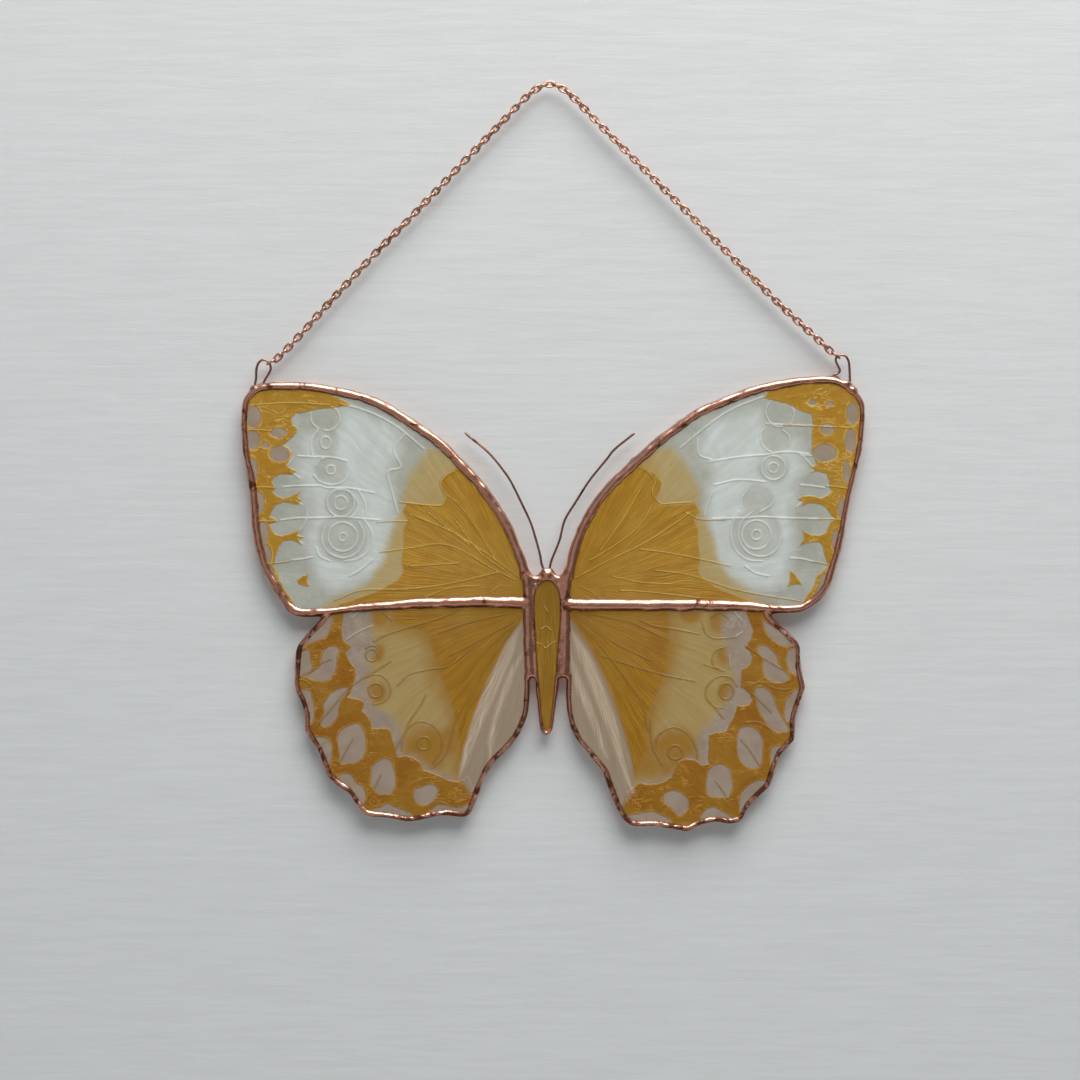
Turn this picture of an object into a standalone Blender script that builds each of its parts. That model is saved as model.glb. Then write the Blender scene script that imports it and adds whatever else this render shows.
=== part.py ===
"""A stained-glass butterfly suncatcher that hangs from a copper cable chain.

Five glass panes sit in edgings of copper-plated solder. Two wire antennae stand on the head, and two
wire loops on the forewing tips hold the chain by its end links.

The butterfly hangs upright in the XZ plane and faces -Y. The origin is the crown of the chain's bend,
where a hook holds it, and Y = 0 is the middle of the glass. Sizes and places are in millimetres, as
(x, z) pairs where they lie in the plane of the wings, and one function turns them into metres.
"""

import math

import bmesh
import bpy
import numpy as np
from mathutils import Matrix, Vector

MILLIMETRE = 0.001

# Driving dimensions
GLASS_THICKNESS = 3.0
FIT_GAP = 0.3
WELD_DISTANCE = 0.002

# Solder beads: width across the bead, and depth from front to back
FOREWING_BEAD = (2.9, 4.8)
SEAM_BEAD = (3.9, 5.2)
HINDWING_BEAD = (1.75, 4.4)
BODY_BAR_BEAD = (4.0, 5.2)
WINDOW_BEAD = (1.35, 4.6)
BEAD_SIDES = 8
BEAD_SQUARENESS = 5.0

# How far a pane's edge lies inside the middle line of each bead that holds it
FOREWING_INSET = 0.3
SEAM_INSET = 0.7
HINDWING_INSET = 0.15
BODY_LIP = 0.5

# Wires and chain
WIRE_DIAMETER = 0.75
CHAIN_DIAMETER = 2.1
END_LINK_LENGTH = 3.9
END_LINK_WIDTH = 2.7
END_LINK_WIRE = 0.6
LINK_CLEARANCE = 0.25

# Spacing of the points along each kind of curve where it is straight, and the turn that adds a point
FOREWING_STEP = 12.0
HINDWING_STEP = 8.0
SEAM_STEP = 12.0
WINDOW_STEP = 10.0
BAR_STEP = 15.0
WIRE_STEP = 3.0
ANTENNA_STEP = 8.0
CHAIN_STEP = 6.0
TURN_STEP = 19.0

# The sine of a turn below which a corner counts as straight
STRAIGHT_TURN = 0.1

# Middle line of the edging from the wing's root along the leading edge, round the tip and back
FOREWING_EDGE_LEFT = [
    (-8.9, -157.7), (-9.4, -155.8), (-10.6, -151.4), (-13.8, -143.4), (-17.0, -137.6),
    (-20.2, -132.5), (-23.4, -128.2), (-29.8, -121.3), (-36.2, -114.9), (-42.6, -110.4),
    (-49.0, -106.2), (-55.4, -102.4), (-61.8, -100.2), (-68.2, -98.6), (-77.8, -97.1),
    (-87.4, -96.8), (-92.2, -97.2), (-95.1, -98.3), (-97.1, -100.1), (-98.3, -102.8),
    (-98.6, -110.7), (-97.9, -118.7), (-96.5, -125.4), (-95.5, -133.2), (-94.7, -142.8),
    (-92.6, -152.4), (-89.9, -158.1), (-86.7, -163.2), (-84.3, -167.0), (-82.2, -168.6),
    (-79.4, -169.1), (-76.2, -169.0), (-73.9, -168.7),
]
FOREWING_EDGE_RIGHT = [
    (5.1, -157.7), (5.6, -154.9), (6.8, -149.2), (8.8, -143.9), (11.1, -138.9),
    (14.5, -133.4), (18.5, -128.6), (23.5, -123.8), (30.4, -117.4), (38.3, -111.0),
    (47.2, -104.9), (53.6, -102.2), (63.1, -98.5), (72.6, -96.2), (82.2, -94.9),
    (88.0, -94.8), (91.8, -95.7), (95.0, -97.8), (97.4, -100.2), (98.7, -103.7),
    (98.5, -110.7), (97.7, -117.1), (96.1, -124.3), (94.3, -131.4), (92.7, -139.7),
    (91.1, -147.7), (89.5, -153.3), (87.9, -158.6), (86.2, -161.8), (83.9, -164.5),
    (81.2, -166.5), (78.3, -167.6), (74.2, -167.9), (70.2, -167.8),
]

# Middle line of the bead between the wings, from the outer end to the body
WING_SEAM_LEFT = [
    (-73.5, -168.8), (-65.0, -167.8), (-55.4, -167.0), (-42.6, -166.1), (-33.0, -165.8),
    (-23.4, -165.6), (-10.4, -165.9),
]
WING_SEAM_RIGHT = [
    (69.8, -167.8), (59.8, -167.0), (47.0, -166.7), (21.4, -166.7), (6.4, -166.5),
]

# Middle line of the hindwing's edging as runs that meet at the points of its scalloped margin
HINDWING_EDGE_LEFT = [
    [(-73.4, -171.6), (-75.2, -173.5), (-79.4, -178.2), (-81.0, -180.6), (-81.4, -185.9),
     (-81.8, -191.7), (-81.3, -193.9), (-78.7, -200.3), (-78.4, -206.4)],
    [(-78.4, -206.4), (-76.5, -209.6), (-74.2, -213.1), (-72.0, -218.9), (-71.0, -221.4)],
    [(-71.0, -221.4), (-68.2, -223.7), (-65.0, -225.9), (-62.4, -229.6), (-60.3, -232.3),
     (-58.2, -233.3), (-52.2, -233.9), (-45.8, -235.0), (-40.3, -233.9), (-34.6, -233.0),
     (-29.4, -233.6), (-27.2, -232.8), (-25.4, -228.5), (-22.4, -221.1), (-19.8, -216.8),
     (-15.7, -212.5), (-11.8, -207.7), (-9.3, -202.2), (-8.5, -196.8), (-8.3, -190.0)],
]
HINDWING_EDGE_RIGHT = [
    [(69.3, -171.1), (72.6, -174.2), (75.8, -177.3), (77.8, -179.5), (78.2, -182.1),
     (78.2, -185.6), (78.9, -189.4), (79.7, -193.1)],
    [(79.7, -193.1), (78.2, -197.4), (76.6, -202.2), (76.4, -206.1), (76.3, -209.6)],
    [(76.3, -209.6), (73.3, -212.5), (71.4, -215.4), (69.8, -220.2), (68.5, -224.0)],
    [(68.5, -224.0), (65.0, -227.4), (61.9, -230.7), (59.7, -234.9)],
    [(59.7, -234.9), (56.6, -235.7), (51.8, -235.2), (47.0, -236.2), (42.9, -238.1)],
    [(42.9, -238.1), (38.1, -237.4), (32.6, -236.5), (27.2, -236.6), (24.0, -235.5),
     (21.4, -231.7), (18.9, -225.6), (16.6, -219.5), (12.3, -214.1), (8.3, -209.0),
     (6.0, -203.5), (5.2, -197.1), (5.2, -190.0)],
]

# Corners that a pane's outline has beyond the ends of its beads
WING_JOINT_LEFT = (-72.0, -168.8)
WING_JOINT_RIGHT = (68.8, -167.8)
WING_ROOT_LEFT = (-8.5, -165.9)
WING_ROOT_RIGHT = (4.6, -166.5)

# The body's window in its edging, from the top clockwise
BODY_WINDOW = [
    (-1.8, -158.7), (0.0, -159.7), (1.4, -161.9), (2.0, -165.1), (2.0, -171.5), (1.4, -180.2),
    (0.7, -188.8), (-0.2, -197.4), (-1.1, -204.4), (-2.0, -207.2), (-3.1, -204.4), (-3.8, -197.4),
    (-4.6, -188.8), (-5.1, -180.2), (-5.7, -171.5), (-5.7, -165.1), (-5.1, -161.9), (-3.7, -159.7),
]

# Middle lines of the two thick beads beside the body, from the shoulder down
BODY_BAR_LEFT = [(-8.0, -158.1), (-8.0, -175.0), (-7.5, -189.6)]
BODY_BAR_RIGHT = [(4.1, -158.1), (4.0, -175.0), (3.6, -189.6)]

# The head's blob: the taper narrows its top, and the foot is its lower half's share of a round height
HEAD_CENTRE = (-1.8, -157.9)
HEAD_SIZE = (7.0, 5.6, 8.6)
HEAD_TAPER = 0.55
HEAD_FOOT = 0.3
SPHERE_RADIUS = 0.5

ANTENNA_LEFT = [
    (-3.7, -153.6), (-4.2, -150.4), (-5.8, -144.6), (-7.4, -139.8), (-10.6, -133.0), (-13.8, -126.7),
    (-17.0, -122.2), (-20.2, -118.4), (-23.4, -115.5), (-26.6, -113.0), (-28.2, -111.5),
]
ANTENNA_RIGHT = [
    (-0.7, -153.3), (-0.2, -151.7), (2.1, -145.9), (3.8, -139.5), (7.7, -133.1), (11.8, -126.7),
    (17.0, -120.3), (19.5, -117.1), (23.4, -113.9), (26.2, -111.7),
]

HANGING_LOOP_LEFT = [
    (-95.3, -95.8), (-95.0, -94.1), (-94.9, -91.5), (-94.4, -89.6), (-93.4, -88.5), (-92.3, -88.3),
    (-91.1, -89.0), (-90.4, -90.2), (-90.4, -91.5), (-91.2, -93.1), (-92.3, -94.9),
]
HANGING_LOOP_RIGHT = [
    (90.1, -93.0), (91.2, -92.6), (91.8, -91.7), (91.3, -90.4), (90.6, -88.9), (90.5, -87.9),
    (91.0, -87.2), (91.9, -86.8), (93.0, -86.8), (94.0, -87.5), (94.7, -89.2), (94.9, -91.5),
    (95.0, -95.4),
]

# Where each loop's wire runs through its end link, and the way the chain leaves from there
LOOP_CONTACT_LEFT = (-90.8, -89.3)
LOOP_CONTACT_RIGHT = (91.0, -87.2)
CHAIN_WAY_LEFT = (0.86, 0.51)
CHAIN_WAY_RIGHT = (-0.78, 0.63)

# The chain's route over the hook, between the two end links
CHAIN_ROUTE = [
    (-88.2, -87.8), (-84.4, -84.1), (-79.4, -78.7), (-74.6, -73.3), (-65.0, -62.9), (-55.4, -52.7),
    (-45.8, -43.0), (-36.2, -33.0), (-26.6, -22.9), (-17.0, -12.9), (-12.2, -7.9), (-8.0, -3.7),
    (-4.8, -1.3), (-1.4, -0.1), (1.6, -0.7), (4.6, -2.6), (8.5, -6.2), (15.0, -13.0), (27.8, -25.9),
    (40.6, -38.6), (53.4, -51.5), (64.6, -62.7), (74.2, -72.1), (83.8, -80.9), (88.6, -85.3),
]

FINE_STEPS = 16
WIRE_ROUNDNESS = 2
LINK_ROUNDNESS = 1
LOOP_BEND_POINTS = 8
HEAD_SEGMENTS = 16
HEAD_RINGS = 10


def metres(point):
    """A point of the wings' plane, in metres, in the flat frame that the shapes are drawn in."""
    return Vector((point[0], point[1], 0.0)) * MILLIMETRE


def smooth(points, step):
    """Points on the rounded curve through the given ones: one each step, and more where it bends."""
    given = np.array(points, float)
    first = 2 * given[0] - given[1]
    last = 2 * given[-1] - given[-2]
    knots = np.vstack([first, given, last])
    fine = []
    for i in range(1, len(knots) - 2):
        a, b, c, d = knots[i - 1 : i + 3]
        for t in np.linspace(0.0, 1.0, FINE_STEPS, endpoint=False):
            bend = (2 * a - 5 * b + 4 * c - d) * t**2 + (3 * b - a - 3 * c + d) * t**3
            fine.append(0.5 * (2 * b + (c - a) * t + bend))
    fine = np.array(fine + [given[-1]])
    moves = np.diff(fine, axis=0)
    heading = np.unwrap(np.arctan2(moves[:, 1], moves[:, 0]))
    turns = np.abs(np.diff(heading, prepend=heading[0]))
    shares = np.linalg.norm(moves, axis=1) / step + turns / math.radians(TURN_STEP)
    travel = np.concatenate([[0.0], np.cumsum(shares)])
    count = max(1, round(travel[-1]))
    stops = np.linspace(0.0, travel[-1], count + 1)
    return [tuple(np.interp(stops, travel, fine[:, k])[i] for k in (0, 1)) for i in range(count + 1)]


def smooth_runs(runs, step):
    """Runs that meet at corners, each smoothed by itself, as one list of points."""
    points = []
    for run in runs:
        points += smooth(run, step)[1 if points else 0 :]
    return points


def inset_outline(sides):
    """A closed outline moved inwards, by each side's own distance. A side is (points, distance)."""
    points, distances = [], []
    for side, distance in sides:
        points += side
        distances += [distance] * len(side)
    ring = np.array(points, float)
    following = np.roll(ring, -1, axis=0)
    area = 0.5 * np.sum(ring[:, 0] * following[:, 1] - following[:, 0] * ring[:, 1])
    edges = following - ring
    normals = np.stack([-edges[:, 1], edges[:, 0]], axis=1) * math.copysign(1.0, area)
    normals /= np.linalg.norm(normals, axis=1, keepdims=True)
    moved = []
    for i, point in enumerate(ring):
        n_in, n_out = normals[i - 1], normals[i]
        d_in, d_out = distances[i - 1], distances[i]
        turn = n_in[0] * n_out[1] - n_in[1] * n_out[0]
        if abs(turn) < STRAIGHT_TURN:
            shift = (n_in + n_out) * 0.25 * (d_in + d_out)
        else:
            shift = np.array([
                d_in * n_out[1] - d_out * n_in[1],
                d_out * n_in[0] - d_in * n_out[0],
            ]) / turn
        moved.append(tuple(point + shift))
    return moved


def make_material(name, colour, roughness, metallic=0.0, transmission=0.0):
    """A Principled material with a plain colour."""
    material = bpy.data.materials.new(name)
    material.use_nodes = True
    shader = material.node_tree.nodes["Principled BSDF"]
    shader.inputs["Base Color"].default_value = (*colour, 1.0)
    shader.inputs["Roughness"].default_value = roughness
    shader.inputs["Metallic"].default_value = metallic
    shader.inputs["Transmission Weight"].default_value = transmission
    material.diffuse_color = (*colour, 1.0)
    return material


def make_collection(name):
    collection = bpy.data.collections.new(name)
    bpy.context.scene.collection.children.link(collection)
    return collection


def stand_upright(thing):
    """Turns a shape drawn flat in X and Y to the XZ plane, with its face towards -Y."""
    thing.matrix_world = Matrix.Rotation(math.radians(90.0), 4, "X")


def new_curve(name, rings, closed, collection):
    """A curve object of straight-sided splines through the given points, drawn flat and stood up."""
    curve = bpy.data.curves.new(name, "CURVE")
    curve.dimensions = "2D"
    for ring in rings:
        spline = curve.splines.new("POLY")
        spline.points.add(len(ring) - 1)
        for control, point in zip(spline.points, ring):
            control.co = (*metres(point), 1.0)
        spline.use_cyclic_u = closed
    thing = bpy.data.objects.new(name, curve)
    collection.objects.link(thing)
    stand_upright(thing)
    return thing


def curve_to_mesh(thing, collection):
    """The curve's shape as one welded mesh object of the same name, in place of the curve."""
    bpy.context.view_layer.update()
    depsgraph = bpy.context.evaluated_depsgraph_get()
    mesh = bpy.data.meshes.new_from_object(thing.evaluated_get(depsgraph))
    shape = bmesh.new()
    shape.from_mesh(mesh)
    bmesh.ops.remove_doubles(shape, verts=shape.verts, dist=WELD_DISTANCE * MILLIMETRE)
    bmesh.ops.recalc_face_normals(shape, faces=shape.faces)
    shape.to_mesh(mesh)
    shape.free()
    name, place = thing.name, thing.matrix_world.copy()
    bpy.data.objects.remove(thing)
    solid = bpy.data.objects.new(name, mesh)
    solid.matrix_world = place
    collection.objects.link(solid)
    return solid


def make_plate(name, rings, thickness, collection):
    """A flat plate with the given outline, and holes where the later rings are."""
    thing = new_curve(name, rings, True, collection)
    thing.data.fill_mode = "BOTH"
    thing.data.extrude = 0.5 * thickness * MILLIMETRE
    return curve_to_mesh(thing, collection)


def make_bead(name, points, size, collection, closed=False):
    """A solder bead along a line: a rounded oblong section, wider or deeper as the size says."""
    width, depth = size
    section = []
    for i in range(BEAD_SIDES):
        angle = 2 * math.pi * (i + 0.5) / BEAD_SIDES
        across, along = math.cos(angle), math.sin(angle)
        power = 2.0 / BEAD_SQUARENESS
        section.append((
            0.5 * width * math.copysign(abs(across) ** power, across),
            0.5 * depth * math.copysign(abs(along) ** power, along),
        ))
    profile = new_curve(name + "_section", [section], True, collection)
    thing = new_curve(name, [points], closed, collection)
    thing.data.bevel_mode = "OBJECT"
    thing.data.bevel_object = profile
    thing.data.use_fill_caps = True
    bead = curve_to_mesh(thing, collection)
    bpy.data.objects.remove(profile)
    return bead


def make_wire(name, points, diameter, collection):
    """A round wire along a line of the wings' plane."""
    wire = new_curve(name, [points], False, collection)
    wire.data.bevel_depth = 0.5 * diameter * MILLIMETRE
    wire.data.bevel_resolution = WIRE_ROUNDNESS
    wire.data.use_fill_caps = True
    return wire


def make_end_link(name, contact, way, collection):
    """The chain's end link: an oval ring edge-on to the front, hooked under a hanging loop's wire."""
    bend_radius = 0.5 * (END_LINK_WIDTH - END_LINK_WIRE)
    straight = END_LINK_LENGTH - END_LINK_WIDTH
    ring = []
    for end, start_angle in ((0.5, 0.0), (-0.5, math.pi)):
        for i in range(LOOP_BEND_POINTS):
            angle = start_angle + math.pi * i / (LOOP_BEND_POINTS - 1)
            ring.append((bend_radius * math.cos(angle), end * straight + bend_radius * math.sin(angle)))
    link = new_curve(name, [ring], True, collection)
    link.data.dimensions = "3D"
    link.data.bevel_depth = 0.5 * END_LINK_WIRE * MILLIMETRE
    link.data.bevel_resolution = LINK_ROUNDNESS
    along = Vector((way[0], 0.0, way[1])).normalized()
    reach = 0.5 * END_LINK_LENGTH - END_LINK_WIRE - 0.5 * WIRE_DIAMETER - LINK_CLEARANCE
    centre = Vector((contact[0], 0.0, contact[1])) + along * reach
    across = Vector((0.0, 1.0, 0.0))
    turn = Matrix((across, along, across.cross(along))).transposed().to_4x4()
    link.matrix_world = Matrix.Translation(centre * MILLIMETRE) @ turn
    return link


def use_boolean(thing, other, operation):
    """Joins the other shape to the thing, or cuts it out."""
    modifier = thing.modifiers.new(other.name, "BOOLEAN")
    modifier.operation = operation
    modifier.solver = "EXACT"
    modifier.object = other


def hide_cutters(cutters):
    for cutter in cutters.objects:
        cutter.hide_render = True
        cutter.display_type = "WIRE"


def pane_sides(forewing_edge, seam, hindwing_edge, joint, root):
    """The outlines that the two panes of one side would have at the middle lines of their beads."""
    seam_line = [joint] + seam[1:-1] + [root]
    forewing_sides = [(forewing_edge, FOREWING_INSET), (seam_line[:-1], SEAM_INSET), ([root], FOREWING_INSET)]
    hindwing_sides = [(seam_line[::-1], SEAM_INSET), (hindwing_edge, HINDWING_INSET)]
    return forewing_sides, hindwing_sides


def grown(sides, amount):
    """The same sides, with each pane edge that much further out."""
    return [(points, distance - amount) for points, distance in sides]


def make_panes(side, outlines, parts, cutters):
    """The two panes of one side, and the two cutters that leave the gap round them."""
    made = []
    for wing, sides in zip(("forewing", "hindwing"), outlines):
        name = f"{wing}_glass_{side}"
        pane = make_plate(name, [inset_outline(sides)], GLASS_THICKNESS, parts)
        room = inset_outline(grown(sides, FIT_GAP))
        cutter = make_plate(f"room for {name}", [room], GLASS_THICKNESS + 2 * FIT_GAP, cutters)
        made.append((pane, cutter))
    return made


def make_head(collection):
    """The blob of solder that makes the head: a low foot, and a top that narrows to the antennae."""
    ball = bmesh.new()
    bmesh.ops.create_uvsphere(ball, u_segments=HEAD_SEGMENTS, v_segments=HEAD_RINGS,
                              radius=SPHERE_RADIUS)
    for corner in ball.verts:
        if corner.co.z > 0.0:
            corner.co.x *= 1.0 - HEAD_TAPER * corner.co.z / SPHERE_RADIUS
        else:
            corner.co.z *= HEAD_FOOT
    bmesh.ops.scale(ball, vec=Vector(HEAD_SIZE) * MILLIMETRE, verts=ball.verts)
    centre = Vector((HEAD_CENTRE[0], 0.0, HEAD_CENTRE[1])) * MILLIMETRE
    bmesh.ops.translate(ball, vec=centre, verts=ball.verts)
    mesh = bpy.data.meshes.new("head")
    ball.to_mesh(mesh)
    ball.free()
    head = bpy.data.objects.new("head", mesh)
    collection.objects.link(head)
    return head


def make_body(parts, cutters):
    """The body's pane, and the edging round it: a bead round the window, two thick bars and the head."""
    window = smooth(BODY_WINDOW + BODY_WINDOW[:1], WINDOW_STEP)[:-1]
    pane = make_plate("body_glass", [inset_outline([(window, -BODY_LIP)])], GLASS_THICKNESS, parts)
    room = inset_outline([(window, -BODY_LIP - FIT_GAP)])
    cutter = make_plate("room for body_glass", [room], GLASS_THICKNESS + 2 * FIT_GAP, cutters)
    ring_line = inset_outline([(window, -0.5 * WINDOW_BEAD[0])])
    rim = make_bead("body_rim", ring_line, WINDOW_BEAD, parts, closed=True)
    joined = [make_head(cutters)]
    for side, line in (("left", BODY_BAR_LEFT), ("right", BODY_BAR_RIGHT)):
        joined.append(make_bead(f"body bar {side}", smooth(line, BAR_STEP), BODY_BAR_BEAD, cutters))
    for piece in joined:
        use_boolean(rim, piece, "UNION")
    use_boolean(rim, cutter, "DIFFERENCE")
    return pane, rim


def build():
    for thing in list(bpy.data.objects):
        bpy.data.objects.remove(thing)
    parts = make_collection("stained_glass_butterfly")
    cutters = make_collection("cutters")

    glass = make_material("amber_glass", (0.72, 0.50, 0.16), 0.2, transmission=0.6)
    solder = make_material("copper_solder", (0.70, 0.42, 0.34), 0.32, metallic=1.0)
    wire = make_material("copper_wire", (0.62, 0.36, 0.27), 0.3, metallic=1.0)
    chain_copper = make_material("chain_copper", (0.82, 0.42, 0.24), 0.28, metallic=1.0)

    body_glass, body_rim = make_body(parts, cutters)
    body_glass.data.materials.append(glass)
    body_rim.data.materials.append(solder)

    wings = (
        ("left", FOREWING_EDGE_LEFT, WING_SEAM_LEFT, HINDWING_EDGE_LEFT, WING_JOINT_LEFT,
         WING_ROOT_LEFT),
        ("right", FOREWING_EDGE_RIGHT, WING_SEAM_RIGHT, HINDWING_EDGE_RIGHT, WING_JOINT_RIGHT,
         WING_ROOT_RIGHT),
    )
    for side, fore_points, seam_points, hind_runs, joint, root in wings:
        fore_line = smooth(fore_points, FOREWING_STEP)
        seam_line = smooth(seam_points, SEAM_STEP)
        hind_line = smooth_runs(hind_runs, HINDWING_STEP)
        outlines = pane_sides(fore_line, seam_line, hind_line, joint, root)
        (fore_pane, fore_room), (hind_pane, hind_room) = make_panes(side, outlines, parts, cutters)
        fore_rim = make_bead(f"forewing_rim_{side}", fore_line, FOREWING_BEAD, parts)
        hind_rim = make_bead(f"hindwing_rim_{side}", hind_line, HINDWING_BEAD, parts)
        seam = make_bead(f"wing_seam_{side}", seam_line, SEAM_BEAD, parts)
        for bead, rooms in (
            (fore_rim, [fore_room]), (hind_rim, [hind_room]),
            (seam, [fore_room, hind_room]), (body_rim, [fore_room, hind_room]),
        ):
            for room in rooms:
                use_boolean(bead, room, "DIFFERENCE")
        for pane in (fore_pane, hind_pane):
            pane.data.materials.append(glass)
        for bead in (fore_rim, hind_rim, seam):
            bead.data.materials.append(solder)

    for side, points in (("left", ANTENNA_LEFT), ("right", ANTENNA_RIGHT)):
        antenna = make_wire(f"antenna_{side}", smooth(points, ANTENNA_STEP), WIRE_DIAMETER, parts)
        antenna.data.materials.append(wire)

    hangers = (
        ("left", HANGING_LOOP_LEFT, LOOP_CONTACT_LEFT, CHAIN_WAY_LEFT),
        ("right", HANGING_LOOP_RIGHT, LOOP_CONTACT_RIGHT, CHAIN_WAY_RIGHT),
    )
    for side, points, contact, way in hangers:
        loop = make_wire(f"hanging_loop_{side}", smooth(points, WIRE_STEP), WIRE_DIAMETER, parts)
        loop.data.materials.append(wire)
        link = make_end_link(f"end_link_{side}", contact, way, parts)
        link.data.materials.append(chain_copper)

    chain = make_wire("chain", smooth(CHAIN_ROUTE, CHAIN_STEP), CHAIN_DIAMETER, parts)
    chain.data.materials.append(chain_copper)

    hide_cutters(cutters)


build()
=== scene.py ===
"""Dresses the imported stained-glass butterfly: lumpy copper-plated solder round painted glass panes,
wire antennae and loops, and a fine copper chain of separate links.

Lengths in the drawings are millimetres in the plane of the wings, as (x, z). The wing patterns are
drawn on a plan of small squares, and turned to millimetres.
"""

import math
import random
from collections import namedtuple

import bmesh
import bpy
import numpy as np
from bpy.props import FloatProperty, FloatVectorProperty, IntProperty, PointerProperty
from mathutils import Matrix, Vector, noise


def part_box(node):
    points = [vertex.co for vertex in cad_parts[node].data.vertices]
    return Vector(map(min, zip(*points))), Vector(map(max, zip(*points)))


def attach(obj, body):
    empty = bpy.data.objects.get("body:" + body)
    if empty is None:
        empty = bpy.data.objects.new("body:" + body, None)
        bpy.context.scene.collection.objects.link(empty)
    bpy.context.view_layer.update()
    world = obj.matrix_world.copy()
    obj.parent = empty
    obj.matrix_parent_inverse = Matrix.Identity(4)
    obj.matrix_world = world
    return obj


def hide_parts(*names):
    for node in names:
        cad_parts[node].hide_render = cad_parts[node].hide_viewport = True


bl_info = {
    "name": "Stained Glass Butterfly",
    "version": (1, 0, 0),
    "blender": (4, 5, 0),
    "location": "3D View > Sidebar > Butterfly",
    "description": "Builds a stained-glass butterfly that hangs from a fine copper chain",
    "category": "Add Mesh",
}

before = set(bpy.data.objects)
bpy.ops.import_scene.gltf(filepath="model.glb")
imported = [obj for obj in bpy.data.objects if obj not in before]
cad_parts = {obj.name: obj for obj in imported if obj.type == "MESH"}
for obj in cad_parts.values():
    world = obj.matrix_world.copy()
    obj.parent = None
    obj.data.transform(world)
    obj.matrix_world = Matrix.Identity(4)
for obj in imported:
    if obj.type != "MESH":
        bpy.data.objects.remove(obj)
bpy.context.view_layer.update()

MILLIMETRE = 0.001
BUTTERFLY_BODY = "butterfly"
CHAIN_BODY = "chain"

# How far off a zone's edge or a line is still measured, in millimetres
FIELD_REACH = 8.0
LINE_REACH = 1.6
ANY_REACH = 1000.0

# The pattern's plan: side of a square in millimetres, and the square at the origin
PLAN_SQUARE = 0.32
PLAN_ORIGIN = (553.0, 84.0)

# Middle lines of the solder beads, from the CAD model
FOREWING_EDGE_LEFT = [
    (-8.9, -157.7), (-9.4, -155.8), (-10.6, -151.4), (-13.8, -143.4), (-17.0, -137.6),
    (-20.2, -132.5), (-23.4, -128.2), (-29.8, -121.3), (-36.2, -114.9), (-42.6, -110.4),
    (-49.0, -106.2), (-55.4, -102.4), (-61.8, -100.2), (-68.2, -98.6), (-77.8, -97.1),
    (-87.4, -96.8), (-92.2, -97.2), (-95.1, -98.3), (-97.1, -100.1), (-98.3, -102.8),
    (-98.6, -110.7), (-97.9, -118.7), (-96.5, -125.4), (-95.5, -133.2), (-94.7, -142.8),
    (-92.6, -152.4), (-89.9, -158.1), (-86.7, -163.2), (-84.3, -167.0), (-82.2, -168.6),
    (-79.4, -169.1), (-76.2, -169.0), (-73.9, -168.7),
]
FOREWING_EDGE_RIGHT = [
    (5.1, -157.7), (5.6, -154.9), (6.8, -149.2), (8.8, -143.9), (11.1, -138.9),
    (14.5, -133.4), (18.5, -128.6), (23.5, -123.8), (30.4, -117.4), (38.3, -111.0),
    (47.2, -104.9), (53.6, -102.2), (63.1, -98.5), (72.6, -96.2), (82.2, -94.9),
    (88.0, -94.8), (91.8, -95.7), (95.0, -97.8), (97.4, -100.2), (98.7, -103.7),
    (98.5, -110.7), (97.7, -117.1), (96.1, -124.3), (94.3, -131.4), (92.7, -139.7),
    (91.1, -147.7), (89.5, -153.3), (87.9, -158.6), (86.2, -161.8), (83.9, -164.5),
    (81.2, -166.5), (78.3, -167.6), (74.2, -167.9), (70.2, -167.8),
]
WING_SEAM_LEFT = [
    (-76.0, -169.0), (-73.5, -168.8), (-65.0, -167.8), (-55.4, -167.0), (-42.6, -166.1),
    (-33.0, -165.8), (-23.4, -165.6), (-10.4, -165.9), (-7.6, -165.9),
]
WING_SEAM_RIGHT = [
    (72.0, -168.0), (69.8, -167.8), (59.8, -167.0), (47.0, -166.7), (21.4, -166.7), (6.4, -166.5),
    (3.8, -166.5),
]
HINDWING_EDGE_LEFT = [
    [(-71.9, -169.6), (-73.4, -171.6), (-75.2, -173.5), (-79.4, -178.2), (-81.0, -180.6),
     (-81.4, -185.9), (-81.8, -191.7), (-81.3, -193.9), (-78.7, -200.3), (-78.4, -206.4)],
    [(-78.4, -206.4), (-76.5, -209.6), (-74.2, -213.1), (-72.0, -218.9), (-71.0, -221.4)],
    [(-71.0, -221.4), (-68.2, -223.7), (-65.0, -225.9), (-62.4, -229.6), (-60.3, -232.3),
     (-58.2, -233.3), (-52.2, -233.9), (-45.8, -235.0), (-40.3, -233.9), (-34.6, -233.0),
     (-29.4, -233.6), (-27.2, -232.8), (-25.4, -228.5), (-22.4, -221.1), (-19.8, -216.8),
     (-15.7, -212.5), (-11.8, -207.7), (-9.3, -202.2), (-8.5, -196.8), (-8.3, -188.5)],
]
HINDWING_EDGE_RIGHT = [
    [(67.6, -169.4), (69.3, -171.1), (72.6, -174.2), (75.8, -177.3), (77.8, -179.5),
     (78.2, -182.1), (78.2, -185.6), (78.9, -189.4), (79.7, -193.1)],
    [(79.7, -193.1), (78.2, -197.4), (76.6, -202.2), (76.4, -206.1), (76.3, -209.6)],
    [(76.3, -209.6), (73.3, -212.5), (71.4, -215.4), (69.8, -220.2), (68.5, -224.0)],
    [(68.5, -224.0), (65.0, -227.4), (61.9, -230.7), (59.7, -234.9)],
    [(59.7, -234.9), (56.6, -235.7), (51.8, -235.2), (47.0, -236.2), (42.9, -238.1)],
    [(42.9, -238.1), (38.1, -237.4), (32.6, -236.5), (27.2, -236.6), (24.0, -235.5),
     (21.4, -231.7), (18.9, -225.6), (16.6, -219.5), (12.3, -214.1), (8.3, -209.0),
     (6.0, -203.5), (5.2, -197.1), (5.2, -188.5)],
]
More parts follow.
